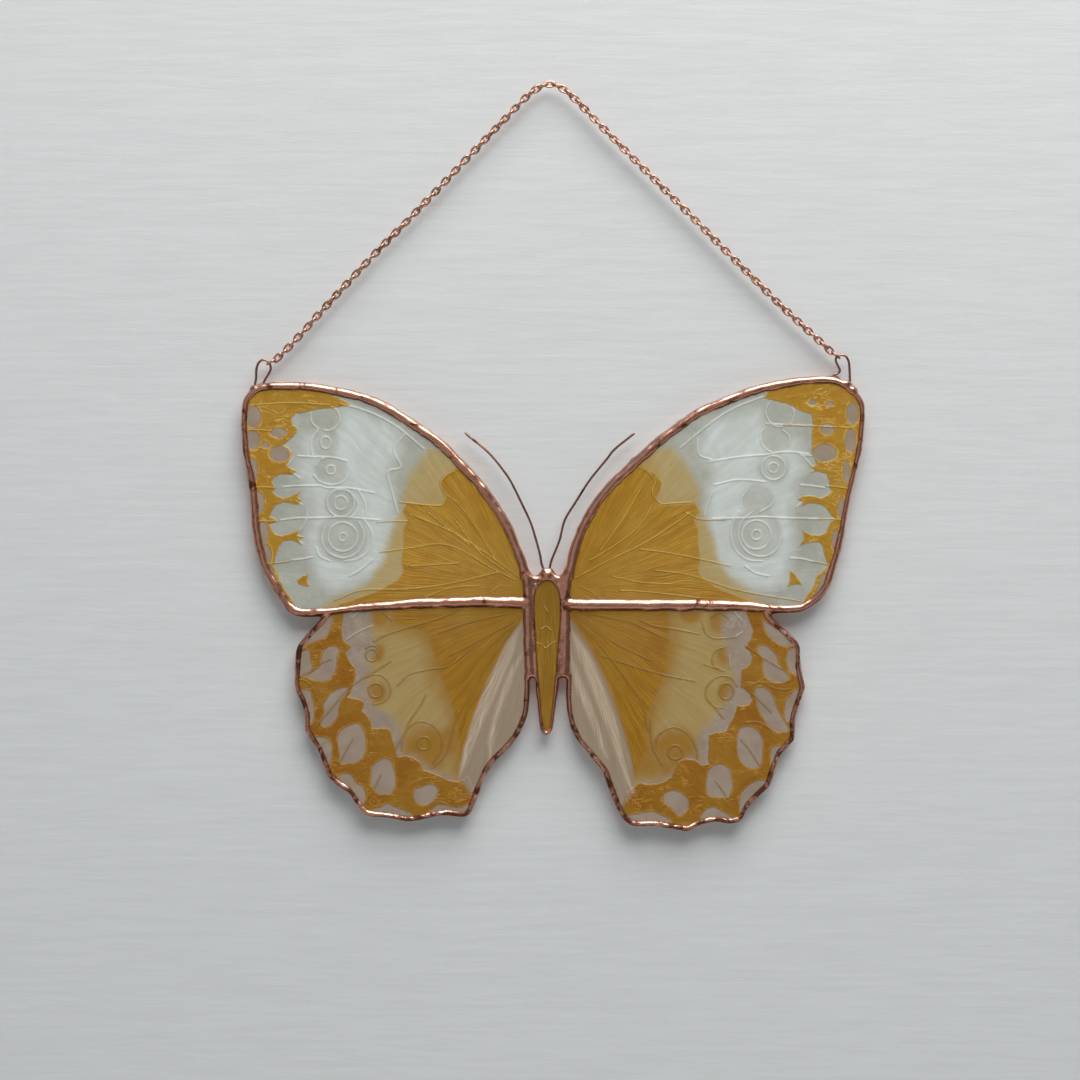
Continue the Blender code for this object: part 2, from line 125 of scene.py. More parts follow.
BODY_WINDOW = [
    (-1.8, -158.7), (0.0, -159.7), (1.4, -161.9), (2.0, -165.1), (2.0, -171.5), (1.4, -180.2),
    (0.7, -188.8), (-0.2, -197.4), (-1.1, -204.4), (-2.0, -207.2), (-3.1, -204.4), (-3.8, -197.4),
    (-4.6, -188.8), (-5.1, -180.2), (-5.7, -171.5), (-5.7, -165.1), (-5.1, -161.9), (-3.7, -159.7),
]
BODY_BAR_LEFT = [
    (-9.2, -156.0), (-8.4, -158.2), (-8.0, -163.0), (-8.0, -175.0), (-7.7, -184.0), (-7.4, -189.8),
]
BODY_BAR_RIGHT = [
    (5.4, -155.6), (4.6, -158.2), (4.1, -163.0), (4.0, -175.0), (3.8, -184.0), (3.5, -189.8),
]
ANTENNA_LEFT = [
    (-3.0, -155.4), (-3.7, -153.4), (-4.2, -150.4), (-5.8, -144.6), (-7.4, -139.8), (-10.6, -133.0),
    (-13.8, -126.7), (-17.0, -122.2), (-20.2, -118.4), (-23.4, -115.5), (-26.6, -113.0),
    (-28.2, -111.5),
]
ANTENNA_RIGHT = [
    (-1.2, -155.4), (-0.7, -153.2), (-0.2, -151.7), (2.1, -145.9), (3.8, -139.5), (7.7, -133.1),
    (11.8, -126.7), (17.0, -120.3), (19.5, -117.1), (23.4, -113.9), (26.2, -111.7),
]
HANGING_LOOP_LEFT = [
    (-95.6, -97.8), (-95.3, -95.8), (-95.0, -94.1), (-94.9, -91.5), (-94.4, -89.6), (-93.4, -88.5),
    (-92.3, -88.3), (-91.1, -89.0), (-90.4, -90.2), (-90.4, -91.5), (-91.2, -93.1), (-92.3, -94.9),
    (-93.1, -96.9),
]
HANGING_LOOP_RIGHT = [
    (88.6, -94.2), (90.1, -93.0), (91.2, -92.6), (91.8, -91.7), (91.3, -90.4), (90.6, -88.9),
    (90.5, -87.9), (91.0, -87.2), (91.9, -86.8), (93.0, -86.8), (94.0, -87.5), (94.7, -89.2),
    (94.9, -91.5), (95.0, -95.4), (95.1, -97.6),
]
CHAIN_ROUTE = [
    (-88.2, -87.8), (-84.4, -84.1), (-79.4, -78.7), (-74.6, -73.3), (-65.0, -62.9), (-55.4, -52.7),
    (-45.8, -43.0), (-36.2, -33.0), (-26.6, -22.9), (-17.0, -12.9), (-12.2, -7.9), (-8.0, -3.7),
    (-4.8, -1.3), (-1.4, -0.1), (1.6, -0.7), (4.6, -2.6), (8.5, -6.2), (15.0, -13.0), (27.8, -25.9),
    (40.6, -38.6), (53.4, -51.5), (64.6, -62.7), (74.2, -72.1), (83.8, -80.9), (88.6, -85.3),
]
LOOP_CONTACT = {"left": (-90.8, -89.3), "right": (91.0, -87.2)}
CHAIN_WAY = {"left": (0.86, 0.51), "right": (-0.78, 0.63)}

# Blobs of solder: middle (x, z), and radii across, front to back, and up
SOLDER_BLOBS = [
    ((-95.3, -97.6), (1.7, 2.2, 1.5)), ((-92.9, -96.8), (2.0, 2.0, 1.2)), ((-89.0, -96.6), (2.2, 2.4, 1.3)),
    ((89.6, -94.4), (2.2, 2.0, 1.2)), ((93.4, -95.9), (2.2, 2.4, 1.3)), ((95.6, -98.2), (1.9, 2.5, 1.8)),
    ((-75.0, -168.9), (2.6, 2.4, 1.6)), ((-72.2, -169.3), (1.8, 2.5, 1.6)), ((69.4, -168.2), (2.2, 2.5, 1.6)),
    ((-9.0, -166.0), (1.8, 2.5, 2.2)), ((5.2, -166.4), (1.8, 2.5, 2.2)),
    ((-8.2, -158.6), (2.2, 2.5, 1.9)), ((4.5, -158.2), (2.2, 2.5, 1.9)),
    ((-6.9, -188.6), (1.9, 2.5, 1.5)), ((3.2, -188.6), (1.9, 2.5, 1.5)),
    ((-1.9, -157.2), (2.2, 2.35, 2.6)), ((-6.7, -160.4), (1.7, 2.4, 2.4)), ((3.1, -160.4), (1.7, 2.4, 2.4)),
    ((-62.5, -100.0), (2.0, 2.5, 1.5)), ((-30.0, -121.6), (1.9, 2.4, 1.7)),
    ((26.5, -120.8), (2.0, 2.3, 1.6)), ((-44.0, -166.2), (2.6, 2.6, 1.9)), ((33.0, -166.7), (2.8, 2.6, 1.9)),
]
HEAD_RIDGES = [
    [(-8.2, -157.6), (-5.9, -158.5), (-4.3, -158.0), (-3.2, -156.6), (-2.4, -154.9)],
    [(4.5, -157.4), (2.2, -158.4), (0.6, -157.9), (-0.5, -156.5), (-1.4, -154.9)],
]

# Patterns of the panes, in squares of the plan
FOREWING_LEFT = {
    "amber": [
        [(352, 405), (334, 396), (312, 388), (290, 383), (262, 383), (244, 398), (240, 430), (241, 470),
         (246, 500), (249, 530), (256, 560), (262, 572), (272, 590), (284, 604), (294, 602), (287, 592),
         (280, 579), (274, 566), (276, 556), (279, 547), (284, 541), (292, 540), (299, 543), (303, 546),
         (299, 540), (304, 537), (297, 535), (301, 529), (291, 533), (283, 536), (276, 534), (272, 529),
         (270, 524), (277, 521), (276, 519), (270, 517), (272, 511), (277, 505), (284, 502), (291, 503),
         (298, 505), (302, 500), (297, 497), (301, 491), (292, 496), (284, 498), (277, 496), (273, 492),
         (276, 489), (275, 486), (272, 482), (275, 477), (282, 474), (291, 475), (297, 471), (290, 468),
         (287, 465), (290, 460), (292, 455), (289, 449), (283, 445), (288, 441), (294, 436), (298, 430),
         (293, 424), (292, 418), (297, 413), (303, 413), (308, 411), (320, 409), (333, 408)],
        [(309, 573), (307, 575), (303, 576), (298, 580), (299, 584), (305, 586), (310, 586), (307, 581)],
    ],
    "fan": [
        [(459, 466), (447, 474), (441, 482), (442, 490), (446, 498), (442, 505), (428, 505), (407, 503),
         (403, 512), (408, 520), (404, 530), (404, 545), (402, 560), (404, 572), (398, 580), (380, 590),
         (360, 598), (340, 604), (335, 614), (530, 614), (534, 560), (524, 520), (504, 485), (482, 462),
         (470, 452)],
    ],
    "pale": [
        [(430, 446), (474, 450), (490, 500), (440, 520), (430, 600), (312, 614), (330, 600), (352, 591),
         (370, 578), (382, 560), (388, 535), (396, 520), (400, 505), (401, 490), (408, 475), (418, 461)],
    ],
    "window": [
        [(262, 566), (271, 565), (277, 579), (284, 592), (290, 601), (280, 603), (266, 585), (257, 566)],
    ],
    "window_spots": [
        (254, 417, 7.5, 11), (253, 440, 7, 10), (252, 471, 6, 13), (258, 503, 7, 12), (263, 533, 6, 12),
        (267, 555, 5, 10), (279, 433, 8, 5), (280, 454, 10, 8), (266, 445, 4, 3),
    ],
    "milk": [
        [(302, 440), (300, 470), (308, 490), (312, 520), (308, 545), (312, 560), (318, 580), (332, 590),
         (352, 588), (375, 578), (390, 560), (396, 530), (394, 500), (390, 470), (402, 450), (398, 430),
         (384, 420), (360, 412), (344, 410), (341, 428), (330, 432), (310, 436)],
    ],
    "dim_spots": [(326, 418, 13), (326, 443, 13), (331, 470, 15), (341, 503, 15), (343, 537, 24)],
    "rings": [
        (326, 443, 5, 6), (331, 470, 4.5, 4.5), (341, 503, 6.5, 7), (341, 503, 13.5, 14),
        (343, 537, 14.5, 14.5), (343, 537, 4, 4),
    ],
    "lines": [
        [(311, 413), (311, 420), (314, 425), (319, 429)],
        [(331, 407), (336, 409), (339, 414), (340, 420), (338, 425), (334, 429), (329, 431), (324, 430)],
        [(318, 431), (313, 437), (311, 443), (312, 450), (313, 456)],
        [(298, 456), (312, 457), (322, 457), (335, 458), (347, 461)],
        [(316, 467), (319, 461), (325, 458)],
        [(314, 475), (319, 481), (326, 484), (333, 485), (341, 483), (347, 478), (350, 470)],
        [(283, 487), (300, 486), (320, 486), (328, 488), (345, 488), (360, 490), (374, 493)],
        [(328, 498), (333, 492), (340, 490), (348, 491), (354, 496), (358, 503), (357, 512), (350, 518)],
        [(281, 520), (300, 518), (320, 518), (345, 517), (365, 519), (380, 520)],
        [(358, 490), (364, 500), (366, 510), (363, 518), (369, 526), (373, 538), (369, 550), (358, 559),
         (345, 561)],
        [(325, 527), (322, 537), (325, 548), (333, 555), (345, 558), (357, 553), (363, 543), (364, 532),
         (359, 522)],
        [(293, 560), (303, 559), (313, 557)],
        [(316, 547), (320, 556), (330, 561)],
        [(405, 434), (394, 450), (401, 467), (388, 472), (392, 491), (398, 513)],
        [(340, 404), (360, 409), (380, 417), (400, 429), (424, 449)],
        [(350, 576), (362, 569), (372, 560)],
        [(307, 508), (307, 518), (303, 527), (298, 533)],
        [(296, 501), (303, 505)], [(298, 539), (303, 544)], [(288, 465), (293, 458)], [(291, 472), (300, 478)],
    ],
    "veins": [
        [(519, 577), (496, 560), (460, 536), (430, 522), (409, 514)],
        [(516, 580), (492, 568), (449, 545), (410, 548), (380, 552)],
        [(498, 572), (470, 579), (440, 585), (405, 589), (362, 590), (335, 600)],
        [(500, 585), (490, 592)], [(496, 560), (478, 530), (462, 508), (446, 494)],
        [(470, 545), (448, 528), (428, 512)], [(459, 563), (442, 564), (410, 566)],
        [(459, 469), (447, 475), (441, 482), (442, 490), (446, 498), (442, 505), (428, 505), (400, 502)],
        [(377, 522), (392, 521), (408, 521)], [(251, 488), (264, 487), (276, 488)],
        [(251, 430), (262, 430), (272, 431)], [(253, 520), (265, 521), (278, 521)],
        [(258, 564), (275, 563), (290, 561)], [(256, 405), (290, 403), (330, 405)],
        [(480, 585), (450, 588), (425, 597)], [(505, 570), (480, 552), (455, 520)],
    ],
}

# What the right forewing has in its own places
FOREWING_RIGHT_OWN = {
    "amber": [
        [(764, 398), (780, 402), (790, 405), (800, 411), (811, 414), (813, 425), (811, 436), (812, 444),
         (811, 452), (814, 459), (817, 465), (811, 466), (814, 470), (810, 473), (818, 471), (826, 474),
         (829, 481), (829, 488), (832, 491), (828, 495), (821, 498), (812, 496), (803, 496), (797, 499),
         (803, 502), (801, 507), (808, 503), (820, 504), (826, 508), (830, 514), (836, 519), (830, 522),
         (828, 528), (825, 533), (820, 535), (811, 535), (802, 530), (804, 538), (799, 546), (806, 543),
         (813, 542), (819, 542), (823, 547), (824, 554), (826, 560), (828, 566), (823, 570), (818, 574),
         (815, 581), (812, 589), (808, 594), (804, 600), (800, 606), (808, 610), (840, 600), (852, 570),
         (862, 540), (872, 500), (880, 440), (880, 400), (862, 378), (820, 368), (780, 376)],
        [(790, 570), (796, 576), (801, 584), (790, 585), (787, 587), (790, 579)],
    ],
    "window": [
        [(821, 575), (828, 571), (833, 566), (836, 575), (830, 587), (822, 597), (813, 603), (809, 604),
         (812, 597), (816, 590), (819, 582)],
    ],
    "window_spots": [
        (852, 414, 6, 11), (850, 441, 5.5, 12), (846, 472, 3.5, 11), (841, 508, 3.5, 10), (836, 541, 5, 11),
        (827, 429, 7, 6), (812, 403, 4, 3), (829, 404, 4, 2.5), (824, 453, 12, 9),
    ],
    "dim_spots": [(779, 412, 14), (776, 438, 14), (773, 468, 15), (757, 500, 15), (756, 535, 25)],
    "rings": [(773, 468, 5, 5), (756, 535, 14.5, 14.5), (773, 468, 12, 12), (756, 535, 5, 5)],
    "lines": [
        [(768, 404), (765, 412), (768, 420), (774, 426), (782, 427)], [(792, 408), (794, 415), (790, 424)],
        [(762, 430), (760, 440), (764, 448), (772, 453)], [(782, 430), (789, 437), (788, 446)],
        [(766, 424), (785, 425), (812, 426)], [(708, 462), (740, 457), (765, 455), (785, 452), (808, 454)],
        [(714, 485), (738, 480), (765, 482)], [(800, 485), (812, 486), (824, 488)],
        [(748, 488), (742, 497), (740, 508)], [(775, 494), (772, 504), (760, 512)],
        [(712, 519), (745, 518), (762, 517), (784, 518), (820, 519)],
        [(738, 512), (732, 524), (731, 538), (736, 551), (748, 560), (762, 561)],
        [(752, 512), (741, 522), (738, 536), (743, 548), (752, 555), (766, 556), (777, 548), (780, 536)],
        [(745, 566), (755, 573), (768, 576)], [(790, 558), (803, 559), (813, 562)],
        [(762, 397), (735, 408), (715, 420), (692, 438), (680, 448)], [(697, 440), (699, 455), (712, 460)],
        [(712, 492), (707, 505), (704, 515)], [(804, 500), (796, 507)], [(800, 455), (811, 456)],
        [(803, 457), (813, 468)],
    ],
    "veins": [
        [(575, 578), (605, 562), (640, 545), (665, 530), (690, 512)], [(612, 576), (640, 582), (672, 584)],
        [(640, 549), (670, 553), (705, 560), (730, 566)], [(580, 586), (592, 592), (602, 600)],
        [(637, 466), (648, 472), (655, 482), (652, 492), (660, 503), (675, 503), (692, 502)],
        [(655, 570), (690, 575), (738, 590), (800, 601)], [(600, 550), (622, 520), (640, 490)],
        [(685, 512), (700, 519), (725, 520)], [(784, 425), (812, 426), (852, 428)],
        [(826, 486), (838, 487), (850, 489)], [(818, 519), (835, 519), (848, 521)],
        [(812, 561), (822, 563), (832, 566)], [(620, 590), (650, 592), (700, 598)],
        [(590, 560), (615, 545), (640, 525), (652, 505)],
    ],
}

HINDWING_LEFT = {
    "amber": [
        [(345, 608), (342, 625), (342, 635), (344, 641), (351, 646), (346, 652), (348, 658), (351, 663),
         (355, 668), (356, 675), (354, 681), (352, 688), (350, 693), (347, 697), (354, 698), (362, 700),
         (364, 703), (362, 710), (368, 716), (371, 722), (372, 728), (380, 728), (388, 728), (391, 731),
         (393, 740), (396, 750), (398, 757), (405, 755), (413, 757), (420, 762), (424, 770), (432, 772),
         (440, 776), (452, 781), (460, 781), (468, 776), (474, 790), (474, 820), (400, 832), (350, 818),
         (318, 785), (292, 740), (282, 690), (284, 640), (315, 606)],
    ],
    "fan": [
        [(392, 606), (396, 622), (430, 632), (434, 648), (440, 668), (447, 690), (455, 710), (460, 745),
         (463, 778), (470, 770), (478, 735), (490, 700), (505, 665), (524, 630), (530, 606)],
    ],
    "pale": [
        [(368, 606), (369, 640), (374, 650), (368, 662), (367, 673), (363, 680), (368, 690), (367, 700),
         (372, 708), (380, 712), (390, 715), (398, 724), (401, 738), (399, 752), (402, 758), (415, 757),
         (425, 766), (440, 776), (455, 781), (464, 778), (480, 700), (500, 640), (528, 606)],
    ],
    "window": [
        [(334, 616), (330, 630), (325, 638), (312, 642), (302, 648), (312, 630), (324, 618)],
        [(300, 652), (309, 650), (311, 660), (313, 668), (304, 676), (296, 672), (296, 660)],
        [(330, 646), (337, 647), (340, 650), (338, 655), (337, 662), (337, 668), (334, 674), (330, 679),
         (322, 681), (312, 679), (307, 676), (315, 670), (321, 665), (322, 658), (324, 651)],
        [(336, 690), (345, 687), (349, 688), (345, 695), (341, 700), (339, 708), (338, 716), (332, 724),
         (325, 727), (321, 722), (325, 712), (324, 704), (328, 698), (330, 694)],
        [(301, 690), (310, 690), (312, 698), (315, 706), (314, 718), (309, 723), (302, 706)],
        [(338, 735), (341, 730), (350, 725), (358, 723), (363, 728), (366, 737), (366, 747), (363, 757),
         (356, 762), (348, 763), (340, 762), (340, 752), (338, 743)],
        [(316, 736), (328, 738), (332, 745), (332, 757), (328, 768), (321, 757)],
        [(372, 766), (378, 761), (384, 758), (391, 760), (394, 768), (396, 778), (395, 788), (390, 793),
         (382, 794), (375, 790), (371, 782)],
        [(338, 775), (346, 773), (352, 775), (356, 782), (363, 786), (366, 793), (365, 801), (360, 806),
         (353, 799), (343, 788)],
        [(415, 789), (424, 786), (431, 784), (437, 787), (438, 793), (434, 800), (428, 804), (419, 804),
         (414, 797)],
        [(372, 809), (382, 806), (388, 803), (395, 806), (405, 810), (412, 814), (400, 820), (383, 815)],
        [(430, 810), (440, 804), (450, 806), (462, 807), (468, 803), (470, 810), (460, 816), (440, 814)],
    ],
    "pearl": [
        [(526, 616), (508, 640), (497, 662), (485, 688), (476, 712), (466, 742), (459, 777), (476, 800),
         (506, 752), (530, 715), (540, 690), (540, 640)],
    ],
    "spindles": [
        [(522, 622), (506, 645), (495, 667), (483, 692), (474, 716), (465, 744), (459, 777), (464, 768),
         (472, 748), (483, 722), (494, 698), (504, 675), (514, 650)],
        [(523, 652), (513, 676), (505, 697), (497, 722), (490, 758), (488, 742), (494, 715), (502, 690),
         (511, 668)],
    ],
    "vein_rings": [(376, 690, 7, 7), (424, 743, 6.5, 6.5), (372, 655, 6, 6)],
    "glow": [(426, 750, 40), (452, 740, 26), (378, 692, 17), (376, 652, 15), (380, 616, 18), (412, 772, 20)],
    "lines": [
        [(346, 640), (358, 632), (372, 626)], [(352, 618), (358, 612)],
    ],
    "veins": [
        [(367, 677), (375, 674), (383, 676), (390, 685), (390, 695), (383, 702), (374, 704)],
        [(402, 750), (403, 738), (409, 727), (420, 721), (433, 725), (441, 736), (441, 750), (433, 763)],
        [(366, 648), (373, 645), (379, 650), (380, 658)], [(384, 613), (392, 620)],
        [(301, 676), (312, 670), (321, 663), (331, 659)],
        [(314, 728), (325, 716), (337, 702), (345, 692), (360, 680), (375, 671), (391, 661)],
        [(339, 765), (345, 753), (353, 739)], [(397, 747), (405, 732), (411, 719), (420, 706), (426, 695)],
        [(374, 641), (390, 633), (400, 630), (420, 624), (440, 618), (462, 608)],
        [(398, 685), (410, 674), (430, 669), (450, 665), (476, 644)],
        [(370, 797), (375, 787), (381, 775)], [(457, 712), (452, 735), (445, 755), (432, 768)],
        [(520, 618), (480, 640), (450, 655)], [(518, 622), (490, 660), (470, 700), (460, 730)],
        [(519, 620), (488, 648), (462, 682)], [(300, 679), (308, 682), (314, 690), (317, 700)],
        [(515, 612), (470, 622), (440, 632)],
    ],
}

HINDWING_RIGHT = {
    "amber": [
        [(744, 606), (750, 622), (753, 630), (751, 638), (748, 643), (745, 647), (750, 651), (752, 656),
         (751, 663), (746, 667), (742, 669), (741, 680), (741, 687), (746, 690), (750, 694), (752, 700),
         (749, 704), (744, 706), (737, 705), (735, 712), (733, 718), (730, 722), (727, 730), (722, 732),
         (715, 732), (709, 735), (709, 745), (708, 757), (709, 763), (702, 765), (695, 760), (685, 758),
         (678, 762), (675, 768), (672, 776), (662, 782), (655, 784), (645, 784), (640, 782), (632, 788),
         (626, 792), (622, 805), (630, 822), (690, 840), (762, 832), (800, 770), (820, 700), (816, 635),
         (775, 600)],
    ],
    "fan": [
        [(570, 606), (668, 606), (668, 645), (666, 668), (661, 681), (653, 699), (647, 715), (645, 730),
         (648, 748), (640, 760), (635, 772), (628, 750), (622, 728), (613, 702), (603, 677), (593, 655),
         (580, 636), (571, 625)],
    ],
    "pale": [
        [(570, 606), (728, 606), (722, 625), (724, 640), (729, 650), (731, 665), (735, 680), (733, 688),
         (728, 700), (722, 712), (712, 720), (704, 728), (700, 740), (700, 755), (702, 765), (690, 758),
         (672, 776), (655, 784), (640, 782), (632, 789), (622, 745), (600, 690), (571, 630)],
    ],
    "window": [
        [(762, 620), (770, 625), (780, 631), (794, 643), (785, 646), (775, 642), (766, 633)],
        [(756, 647), (764, 645), (770, 649), (776, 655), (778, 662), (782, 668), (786, 673), (789, 678),
         (784, 682), (775, 682), (768, 679), (764, 674), (762, 667), (763, 660), (759, 654)],
        [(787, 650), (796, 648), (800, 660), (799, 674), (791, 672), (786, 662)],
        [(755, 688), (762, 687), (769, 691), (773, 697), (776, 706), (781, 716), (786, 724), (789, 730),
         (782, 732), (775, 731), (767, 724), (761, 714), (757, 706), (757, 700), (754, 694)],
        [(786, 700), (794, 690), (801, 692), (796, 705), (791, 718), (786, 722), (784, 710)],
        [(739, 728), (748, 726), (757, 730), (762, 740), (762, 752), (761, 763), (756, 768), (748, 767),
         (740, 760), (737, 750), (737, 738)],
        [(771, 747), (779, 745), (788, 742), (780, 754), (773, 768), (770, 757)],
        [(708, 770), (714, 765), (722, 764), (729, 769), (732, 778), (732, 788), (728, 796), (718, 797),
         (709, 795), (706, 785)],
        [(741, 792), (748, 785), (757, 780), (768, 781), (758, 792), (748, 805), (741, 818), (739, 800)],
        [(664, 793), (672, 790), (682, 793), (688, 799), (688, 807), (684, 813), (678, 815), (672, 808),
         (664, 802)],
        [(700, 816), (706, 809), (714, 807), (722, 811), (730, 815), (737, 819), (720, 822), (705, 823)],
        [(626, 815), (640, 813), (652, 811), (662, 815), (672, 821), (655, 823), (635, 823)],
    ],
    "pearl": [
        [(568, 616), (590, 648), (605, 680), (615, 705), (623, 730), (630, 755), (634, 790), (622, 806),
         (604, 770), (582, 735), (562, 705), (556, 680), (556, 640)],
    ],
    "spindles": [
        [(571, 630), (590, 655), (605, 690), (618, 730), (625, 765), (633, 792), (626, 782), (616, 752),
         (603, 717), (589, 682), (578, 654)],
        [(570, 652), (585, 690), (600, 730), (607, 758), (600, 747), (588, 716), (575, 684)],
    ],
    "vein_rings": [(675, 752, 7, 7), (726, 691, 7, 8)],
    "glow": [(674, 754, 44), (648, 760, 30), (728, 692, 18), (726, 655, 16), (720, 622, 20), (690, 612, 20)],
    "lines": [
        [(735, 637), (742, 632)], [(734, 612), (741, 620)], [(729, 655), (730, 668)],
    ],
    "veins": [
        [(655, 748), (657, 737), (664, 730), (675, 727), (688, 734), (696, 748), (697, 758)],
        [(737, 686), (730, 677), (720, 676), (712, 680), (706, 688), (706, 697), (712, 705), (722, 708)],
        [(724, 647), (716, 650), (712, 657), (713, 665), (719, 668)],
        [(702, 622), (705, 632), (713, 638), (725, 638), (735, 637)], [(711, 618), (719, 612), (728, 618)],
        [(745, 645), (752, 650), (762, 657), (772, 663), (782, 669)], [(752, 693), (760, 701), (771, 712)],
        [(741, 740), (748, 748), (759, 765)], [(715, 780), (722, 790), (728, 799)],
        [(600, 655), (640, 668), (665, 675), (695, 681)], [(640, 620), (655, 626), (675, 629), (699, 634)],
        [(704, 664), (715, 668), (724, 671)], [(706, 697), (713, 705), (723, 718)],
        [(576, 616), (610, 640), (650, 660)], [(577, 620), (612, 660), (640, 700), (648, 730)],
        [(752, 684), (762, 682), (774, 688), (788, 690)], [(745, 722), (758, 722), (772, 730)],
        [(650, 720), (652, 745), (662, 765)], [(580, 612), (630, 622), (668, 640)],
    ],
}

BODY_PATTERN = {
    "fan": [[(510, 550), (585, 550), (585, 770), (510, 770)]],
    "veins": [
        [(537, 643), (542, 644), (546, 648), (550, 644), (556, 641)], [(541, 629), (546, 626), (551, 630)],
        [(544, 605), (548, 612)],
    ],
}

# Columns of a mark and of its mirror image add up to this
MIRROR_SUM = 1102

# The right forewing's broad zones are the left one's, seen from their other side
FOREWING_RIGHT = {
    **FOREWING_RIGHT_OWN,
    **{
        mark: [[(MIRROR_SUM - x, y) for x, y in outline] for outline in FOREWING_LEFT[mark]]
        for mark in ("fan", "pale", "milk")
    },
}

# Each pane's CAD node, its pattern, its wing's root and its paints
PANES = (
    ("forewing_glass_left", FOREWING_LEFT, (-9.0, -162.0), "fore"),
    ("forewing_glass_right", FOREWING_RIGHT, (6.0, -161.0), "fore"),
    ("hindwing_glass_left", HINDWING_LEFT, (-9.0, -168.0), "hind"),
    ("hindwing_glass_right", HINDWING_RIGHT, (6.0, -168.0), "hind"),
    ("body_glass", BODY_PATTERN, (-1.8, -150.0), "body"),
)

# Half widths of the raised lines, in millimetres
WHITE_LINE, WHITE_RING, VEIN, VEIN_RING = 0.2, 0.21, 0.12, 0.17

# Heights of the brush marks and of the thick paint on a pane, in metres
BRUSH_HEIGHT = 0.00007
PAINT_HEIGHT = 0.00006

# Fixed colours, as linear red, green and blue
# The first colour is the pale pink of a painted highlight on the solder's up-facing tops
PAINTED_HIGHLIGHT_COPPER = (0.86, 0.66, 0.59)
CHAIN_TARNISH = (0.24, 0.095, 0.05)
THREAD = (0.76, 0.61, 0.45)
WHITE_LINE_COLOUR = (0.86, 0.92, 0.88)

# Solder: the window's bead to one side of the window's edge, the step between a bead's rings, and
# the sizes of the lumps, in millimetres, and how often the fused solder is smoothed
WINDOW_OFFSET = 0.62
BEAD_STEP = 0.7
COARSE_LUMP, FINE_LUMP = 5.0, 2.2
SMOOTHINGS = 4

WIRE_SIDES = 14
BRUSH_FINENESS = 30.0

# Each forewing's bead: its line, seed and side, then shares of its way and its half widths there,
# inside and outside
FOREWING_BEADS = (
    (FOREWING_EDGE_LEFT, 1.0, 1.0,
     ([0, 0.05, 0.42, 0.5, 0.62, 0.72, 1.0], [1.5, 1.45, 1.4, 1.15, 0.85, 1.1, 1.3]),
     ([0, 0.5, 0.62, 0.78, 1.0], [1.45, 1.4, 1.0, 1.3, 1.4])),
    (FOREWING_EDGE_RIGHT, 21.0, -1.0,
     ([0, 0.05, 0.42, 0.5, 0.62, 0.75, 1.0], [1.5, 1.45, 1.35, 1.3, 0.8, 0.8, 1.2]),
     ([0, 0.5, 0.6, 0.72, 0.85, 1.0], [1.45, 1.4, 0.95, 0.85, 1.2, 1.4])),
)
INNER_SHARE, OUTER_SHARE = 1.22, 1.05

# Each seam's line and seed, and its half widths at shares of its way
SEAM_SHARES = [0.0, 0.12, 0.4, 1.0]
SEAM_BEADS = (
    (WING_SEAM_LEFT, 31.0, (1.2, 1.45, 1.9, 2.3)),
    (WING_SEAM_RIGHT, 41.0, (1.5, 1.85, 2.2, 2.25)),
)

# The outer links' way in from the chain's ends, and a link's pitch as its length less so many wires
CHAIN_INSET = 0.3
WIRES_PER_PITCH = 2.56

# The end links, in metres, and their middles' way from where they touch the loops, in millimetres
END_LINK_OFFSET = 0.725
END_LINK = {"length": 0.0039, "width": 0.0032, "wire": 0.0006, "turns": 24, "sides": 10}

# Camera and stage
LENS = 100.0
SENSOR = 36.0
VIEW_MIDDLE = (540, 540)
AIM = (0.0, 0.0, -0.13)
LAMPS = (
    ("key", (0.2, -0.72, 0.95), 1.1, 22.2, (1.0, 0.99, 0.975)),
    ("fill", (-0.5, -1.7, 0.2), 1.8, 2.6, (0.95, 0.97, 1.0)),
    ("back", (0.2, 0.9, 0.5), 0.9, 10.0, (1.0, 1.0, 1.0)),
)

Paints = namedtuple("Paints", "amber margin ground pale vein fan_edge line_strength")


def length_setting(name, description, default, precision=5):
    return FloatProperty(
        name=name, description=description, default=default, unit="LENGTH", precision=precision)


def colour_setting(name, description, default):
    return FloatVectorProperty(
        name=name, description=description, default=default, subtype="COLOR", size=3, min=0.0, max=1.0)


class SolderSettings(bpy.types.PropertyGroup):
    """Sizes and colours of the solder and the wires."""
    bead_sides: IntProperty(name="Bead Sides", description="Sides of a bead's section", default=18, min=8)
    voxel: length_setting("Grain", "Size of the finest lump in the solder", 0.00042)
    lump_height: length_setting("Lump Height", "Height of the hand-made lumps", 0.00022)
    wire_diameter: length_setting("Wire Diameter", "Diameter of the antennae and the loops", 0.00078)
    copper: colour_setting("Copper", "Colour of the clean copper plate", (0.69, 0.318, 0.215))
    tarnish_shade_colour: colour_setting("Tarnish_And_Shade", "Colour of the plate where it has darkened", (0.14, 0.05, 0.026))
    wire_copper: colour_setting("Wire Copper", "Colour of the darkened wires", (0.36, 0.185, 0.14))


